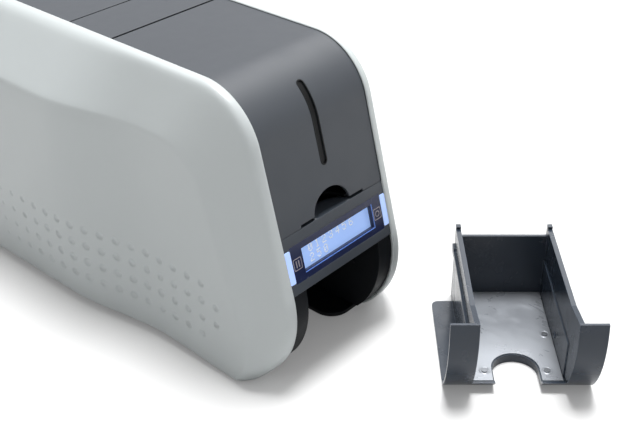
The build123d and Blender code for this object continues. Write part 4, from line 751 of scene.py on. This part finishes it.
skin = side_panel_mesh()
for side, name in SIDES:
    panel = finished(
        f"{name}_panel_shell", skin.copy(), PRINTER, "chassis", "white_panel", (f"{name}_side_panel",),
        flip=side == LEFT,
    )
    wall = panel.modifiers.new("wall", "SOLIDIFY")
    wall.thickness, wall.offset, wall.use_even_offset = PANEL_WALL / 1000, -1, False
    sharpen(panel, 40)


# ---------------------------------------------------------------- things on the leaning front
def front_spot(x, rise, depth):
    """A place on the leaning front: across, up it and behind it."""
    return Vector((x, FOOT[0] + rise * UP[0] + depth * INTO[0], FOOT[1] + rise * UP[1] + depth * INTO[1]))


def rounded_box(half_x, half_y, corner, steps=5):
    """Points round a rectangle with rounded corners, anticlockwise."""
    points = []
    for k, (sx, sy) in enumerate([(1, 1), (-1, 1), (-1, -1), (1, -1)]):
        for i in range(steps + 1):
            a = pi / 2 * (k + i / steps)
            points.append((sx * (half_x - corner) + corner * cos(a), sy * (half_y - corner) + corner * sin(a)))
    return points


def front_plate(work, outline, middle, front, thickness, hole=None, spot=front_spot):
    """A thin plate on the leaning front, with a hole of the same number of points where one is given."""
    layers = []
    for depth in (front, front + thickness):
        rows = [outline] + ([hole] if hole else [])
        layers.append([[work.verts.new(spot(middle[0] + x, middle[1] + r, depth)) for x, r in row] for row in rows])
    near, far = layers
    band(work, near[0], far[0])
    if hole:
        band(work, near[1], far[1], turned=True)
        band(work, near[0], near[1], turned=True)
        band(work, far[0], far[1])
    else:
        work.faces.new(near[0])
        work.faces.new(list(reversed(far[0])))


def button_marks(work, side):
    """The thin framed sign beside a button: two bars on the left, a ring on the right."""
    middle, near = (SIGN_X * side, BAR_MIDDLE), BEZEL_DEPTH - SIGN_PROUD
    loops, bars = ([SIGN_FRAME], SIGN_BAR_X) if side == LEFT else ([SIGN_FRAME, SIGN_RING], ())
    for outer, inner in loops:
        front_plate(work, rounded_box(*outer), middle, near, MARK_THICK, rounded_box(*inner))
    for x in bars:
        front_plate(work, rounded_box(*SIGN_BAR), (middle[0] + x, middle[1]), near, MARK_THICK)


def cover_spot(x, along, depth):
    """A place on the front cover: across, up along its face and round the top corner, and behind it."""
    if along <= TOP_TANGENT:
        return front_spot(x, along, depth)
    centre = front_spot(x, TOP_TANGENT, FRONT_TOP_R)
    angle = radians(LEAN) + (along - TOP_TANGENT) / (FRONT_TOP_R - FACE_DEPTH)
    past = max(angle - pi / 2, 0.0) * (FRONT_TOP_R - FACE_DEPTH)
    angle = min(angle, pi / 2)
    return centre + (FRONT_TOP_R - depth) * Vector((0, -cos(angle), sin(angle))) + Vector((0, past, 0))


def long_loop(half, low, high, steps=34, round_steps=12):
    """Points round a long upright slot with round ends, as across and along."""
    low, high = low + half, high - half
    rise = [low + (high - low) * i / steps for i in range(steps)]
    fall = [high - (high - low) * i / steps for i in range(steps)]
    turns = [pi * i / round_steps for i in range(round_steps)]
    return (
        [(half, along) for along in rise] + [(half * cos(a), high + half * sin(a)) for a in turns]
        + [(-half, along) for along in fall] + [(-half * cos(a), low - half * sin(a)) for a in turns]
    )


def level_slot_rim():
    """The dark rim round the level window's slot."""
    work = bmesh.new()
    slot_end = SLOT_LOW + SLOT_LONG
    front_plate(
        work, long_loop(SLOT_HALF + SLOT_RIM, SLOT_LOW - SLOT_RIM, slot_end + SLOT_RIM), (SLOT_X, 0),
        FACE_DEPTH - SLOT_RIM_PROUD, SLOT_RIM_THICK, long_loop(SLOT_HALF, SLOT_LOW, slot_end), cover_spot,
    )
    return mesh_from(work, "rim")


def rim_gap_shade():
    """A thin black strip between the core and the right rim, painted shade for the gap there, from the bar over the
    roof to the rear.
    """
    work = bmesh.new()
    top, under = FACE_DEPTH - GAP_SHADE_PROUD, FACE_DEPTH - GAP_SHADE_PROUD + GAP_SHADE_THICK
    corners = [(GAP_SHADE_IN, under), (GAP_SHADE_IN, top), (CORE_HALF, top), (CORE_HALF, under)]
    rows = [
        [work.verts.new(cover_spot(x, GAP_SHADE_STEP * k, depth)) for x, depth in corners] for k in GAP_SHADE_PLACES
    ]
    for a, b in zip(rows, rows[1:]):
        band(work, a, b)
    work.faces.new(rows[0])
    work.faces.new(list(reversed(rows[-1])))
    return mesh_from(work, "seal")


def finger_dish(rings=8, steps=24):
    """The dished shelf behind the bar, under the finger notch."""
    work = bmesh.new()
    rows = []
    for i in range(rings + 1):
        reach = i / rings
        rise = SHELF_RISE - SHELF_SUNK * (1 - reach**2)
        angles = [pi * k / steps for k in range(steps + 1)]
        rows.append([work.verts.new(front_spot(
            SHELF_HALF * reach * cos(a), rise + SHELF_TILT * reach * sin(a), SHELF_FRONT + SHELF_DEEP * reach * sin(a)
        )) for a in angles])
    for a, b in zip(rows, rows[1:]):
        for k in range(steps):
            work.faces.new((a[k], b[k], b[k + 1], a[k + 1]))
    mesh = mesh_from(work, "dish")
    if sum(p.normal.z * p.area for p in mesh.polygons) < 0:
        mesh.flip_normals()
    return mesh


slot_rim = finished("level_slot_rim", level_slot_rim(), PRINTER, "front_cover", "window", soft=False)
sharpen(slot_rim, 30)

# Painted shade: a thin black strip in the gap between core and rim on each side.
seal = rim_gap_shade()
for side, name in SIDES:
    finished(
        f"{name}_rim_seal", seal.copy(), PRINTER, "chassis", "inner_black", soft=False, flip=side == LEFT,
    )

dish = finished("notch_shelf", finger_dish(), PRINTER, "chassis", "bar_charcoal")
wall = dish.modifiers.new("wall", "SOLIDIFY")
wall.thickness, wall.offset = SHELF_WALL / 1000, -1

for side, name in SIDES:
    work = bmesh.new()
    button_marks(work, side)
    finished(
        f"{name}_button_sign", mesh_from(work, "sign"), PRINTER, "chassis", "bezel", soft=False,
        paint=printed_marks,
    )

# Painted highlight: thin glowing lines along the lower and right edges of the display window.
work = bmesh.new()
for box, middle in WINDOW_HIGHLIGHT_LINES:
    front_plate(work, rounded_box(*box), middle, BEZEL_DEPTH - LINE_PROUD, MARK_THICK)
finished("display_light_line", mesh_from(work, "line"), PRINTER, "chassis", "bezel", soft=False, paint=blue_line)


# ---------------------------------------------------------------- repeated small parts
def display_dots():
    """The display's lit dots as points: plain numbers in two lines."""
    work = bmesh.new()
    for text, middle in NUMBERS:
        for place, digit in enumerate(text):
            left = NUMBERS_LEFT + place * DIGIT_PITCH
            for row, dots in enumerate(DIGIT_DOTS[digit].split()):
                rise = middle + (3 - row) * DOT_PITCH[1]
                for column, dot in enumerate(dots):
                    if dot == "1":
                        work.verts.new(front_spot(left + column * DOT_PITCH[0], rise, SCREEN_DEPTH - DOT_PROUD))
    return mesh_as_is(work, "dots")


def small_dot():
    """One lit dot, laid on the leaning front."""
    work = bmesh.new()
    front_plate(work, rounded_box(*DOT_BOX, steps=2), (0, 0), 0, DOT_THICK)
    for vert in work.verts:
        vert.co -= front_spot(0, 0, 0)
    return mesh_from(work, "small_dot")


def screw_surround():
    """A pressed ring round a screw of the tray's floor."""
    work = bmesh.new()
    turns = [2 * pi * k / SURROUND_CORNERS for k in range(SURROUND_CORNERS)]
    rings = [
        [work.verts.new((radius * cos(a), radius * sin(a), high)) for a in turns] for radius, high in SURROUND_RINGS
    ]
    for a, b in zip(rings, rings[1:]):
        band(work, a, b)
    return mesh_from(work, "screw_surround")


def surround_places():
    """The middles of the tray's screw surrounds as points."""
    mesh = bpy.data.meshes.new("places")
    mesh.from_pydata([(x, y, SHEET_TOP) for x, y in SURROUND_PLACES], [], [])
    return mesh


def repeated(name, part_mesh, places, paint):
    """One mesh of a small part repeated at every place."""
    part = bpy.data.objects.new(part_mesh.name, part_mesh)
    bpy.context.scene.collection.objects.link(part)
    mesh = grown(name, places, repeat, size=1.0, part=part, finish=paint)
    bpy.data.objects.remove(part)
    return mesh


repeat = scatter_tree()
finished(
    "display_numbers", repeated("display_numbers", small_dot(), display_dots(), lit_marks),
    PRINTER, "chassis", "screen", soft=False, paint=lit_marks,
)
finished(
    "tray_screw_surrounds",
    repeated("tray_screw_surrounds", screw_surround(), surround_places(), finish["tray_sheet"]),
    TRAY, "output_tray", "tray_sheet",
)


# ---------------------------------------------------------------- floor, light and camera
def seen_rays(tree):
    """One for rays from the camera, from gloss and through glass; zero for the rest."""
    path = node(tree, "ShaderNodeLightPath").outputs
    either = maths(tree, "MAXIMUM", path["Is Camera Ray"], path["Is Glossy Ray"])
    return maths(tree, "MAXIMUM", either, path["Is Transmission Ray"])


def stage_floor():
    """A plain pale floor, which looks white to the camera and keeps the object's shadow."""
    mesh = bpy.data.meshes.new("floor")
    corners = [(x * FLOOR_HALF, y * FLOOR_HALF, 0) for x, y in ((-1, -1), (1, -1), (1, 1), (-1, 1))]
    mesh.from_pydata(corners, [], [(0, 1, 2, 3)])
    floor = bpy.data.objects.new("floor", mesh)
    bpy.context.scene.collection.objects.link(floor)
    material = bpy.data.materials.new("pale_floor")
    material.use_nodes = True
    tree = material.node_tree
    shader = tree.nodes["Principled BSDF"]
    shader.inputs["Base Color"].default_value = (FLOOR_TONE, FLOOR_TONE, FLOOR_TONE, 1)
    shader.inputs["Roughness"].default_value = 0.9
    shader.inputs["Specular IOR Level"].default_value = 0.0
    shader.inputs["Emission Color"].default_value = (1, 1, 1, 1)
    tree.links.new(maths(tree, "MULTIPLY", seen_rays(tree), FLOOR_GLOW), shader.inputs["Emission Strength"])
    mesh.materials.append(material)


def world_light():
    """Even studio light; what sees it directly or in gloss sees white."""
    world = bpy.data.worlds.new("studio")
    bpy.context.scene.world = world
    world.use_nodes = True
    tree = world.node_tree
    back = tree.nodes["Background"]
    back.inputs["Color"].default_value = (1, 1, 1, 1)
    height = node(
        tree, "ShaderNodeSeparateXYZ", (0, node(tree, "ShaderNodeTexCoord").outputs["Generated"])
    ).outputs[2]
    rise = maths(tree, "POWER", maths(tree, "MAXIMUM", height, 0.0), SKY_RISE)
    ambient = maths(tree, "MULTIPLY_ADD", rise, ZENITH - HORIZON, HORIZON)
    strength = node(
        tree, "ShaderNodeMapRange", ("Value", seen_rays(tree)), ("To Min", ambient), ("To Max", 1.0)
    ).outputs[0]
    tree.links.new(strength, back.inputs["Strength"])


def towards(azimuth, elevation):
    """The direction from the object to something that stands at these angles."""
    return Vector((sin(azimuth) * cos(elevation), -cos(azimuth) * cos(elevation), sin(elevation)))


def softbox(name, azimuth, elevation, strength, spread):
    """A far soft light; azimuth and elevation say where it stands."""
    light = bpy.data.lights.new(name, "SUN")
    light.energy, light.angle = strength, radians(spread)
    lamp = bpy.data.objects.new(name, light)
    lamp.rotation_euler = towards(radians(azimuth), radians(elevation)).to_track_quat("Z", "Y").to_euler()
    bpy.context.scene.collection.objects.link(lamp)


def photo_camera():
    """The camera, standing left of the front and looking down."""
    azimuth, elevation, roll = (radians(turn) for turn in CAMERA_TURN)
    back = towards(azimuth, elevation)
    right = (-back).cross(Vector((0, 0, 1))).normalized()
    up = right.cross(-back)
    across = right * cos(roll) + up * sin(roll)
    upright = up * cos(roll) - right * sin(roll)
    data = bpy.data.cameras.new("photo_camera")
    data.lens, data.sensor_width, data.sensor_fit = LENS, SENSOR, "HORIZONTAL"
    data.clip_start = 0.01
    camera = bpy.data.objects.new("photo_camera", data)
    turned = Matrix((across, upright, back)).transposed().to_4x4()
    camera.matrix_world = Matrix.Translation(PRINTER @ Vector(CAMERA_PLACE)) @ turned
    bpy.context.scene.collection.objects.link(camera)
    bpy.context.scene.camera = camera


stage_floor()
world_light()
for name, (azimuth, elevation, strength, spread) in LIGHTS.items():
    softbox(name, azimuth, elevation, strength, spread)
photo_camera()
bpy.context.scene.view_settings.view_transform = "Standard"
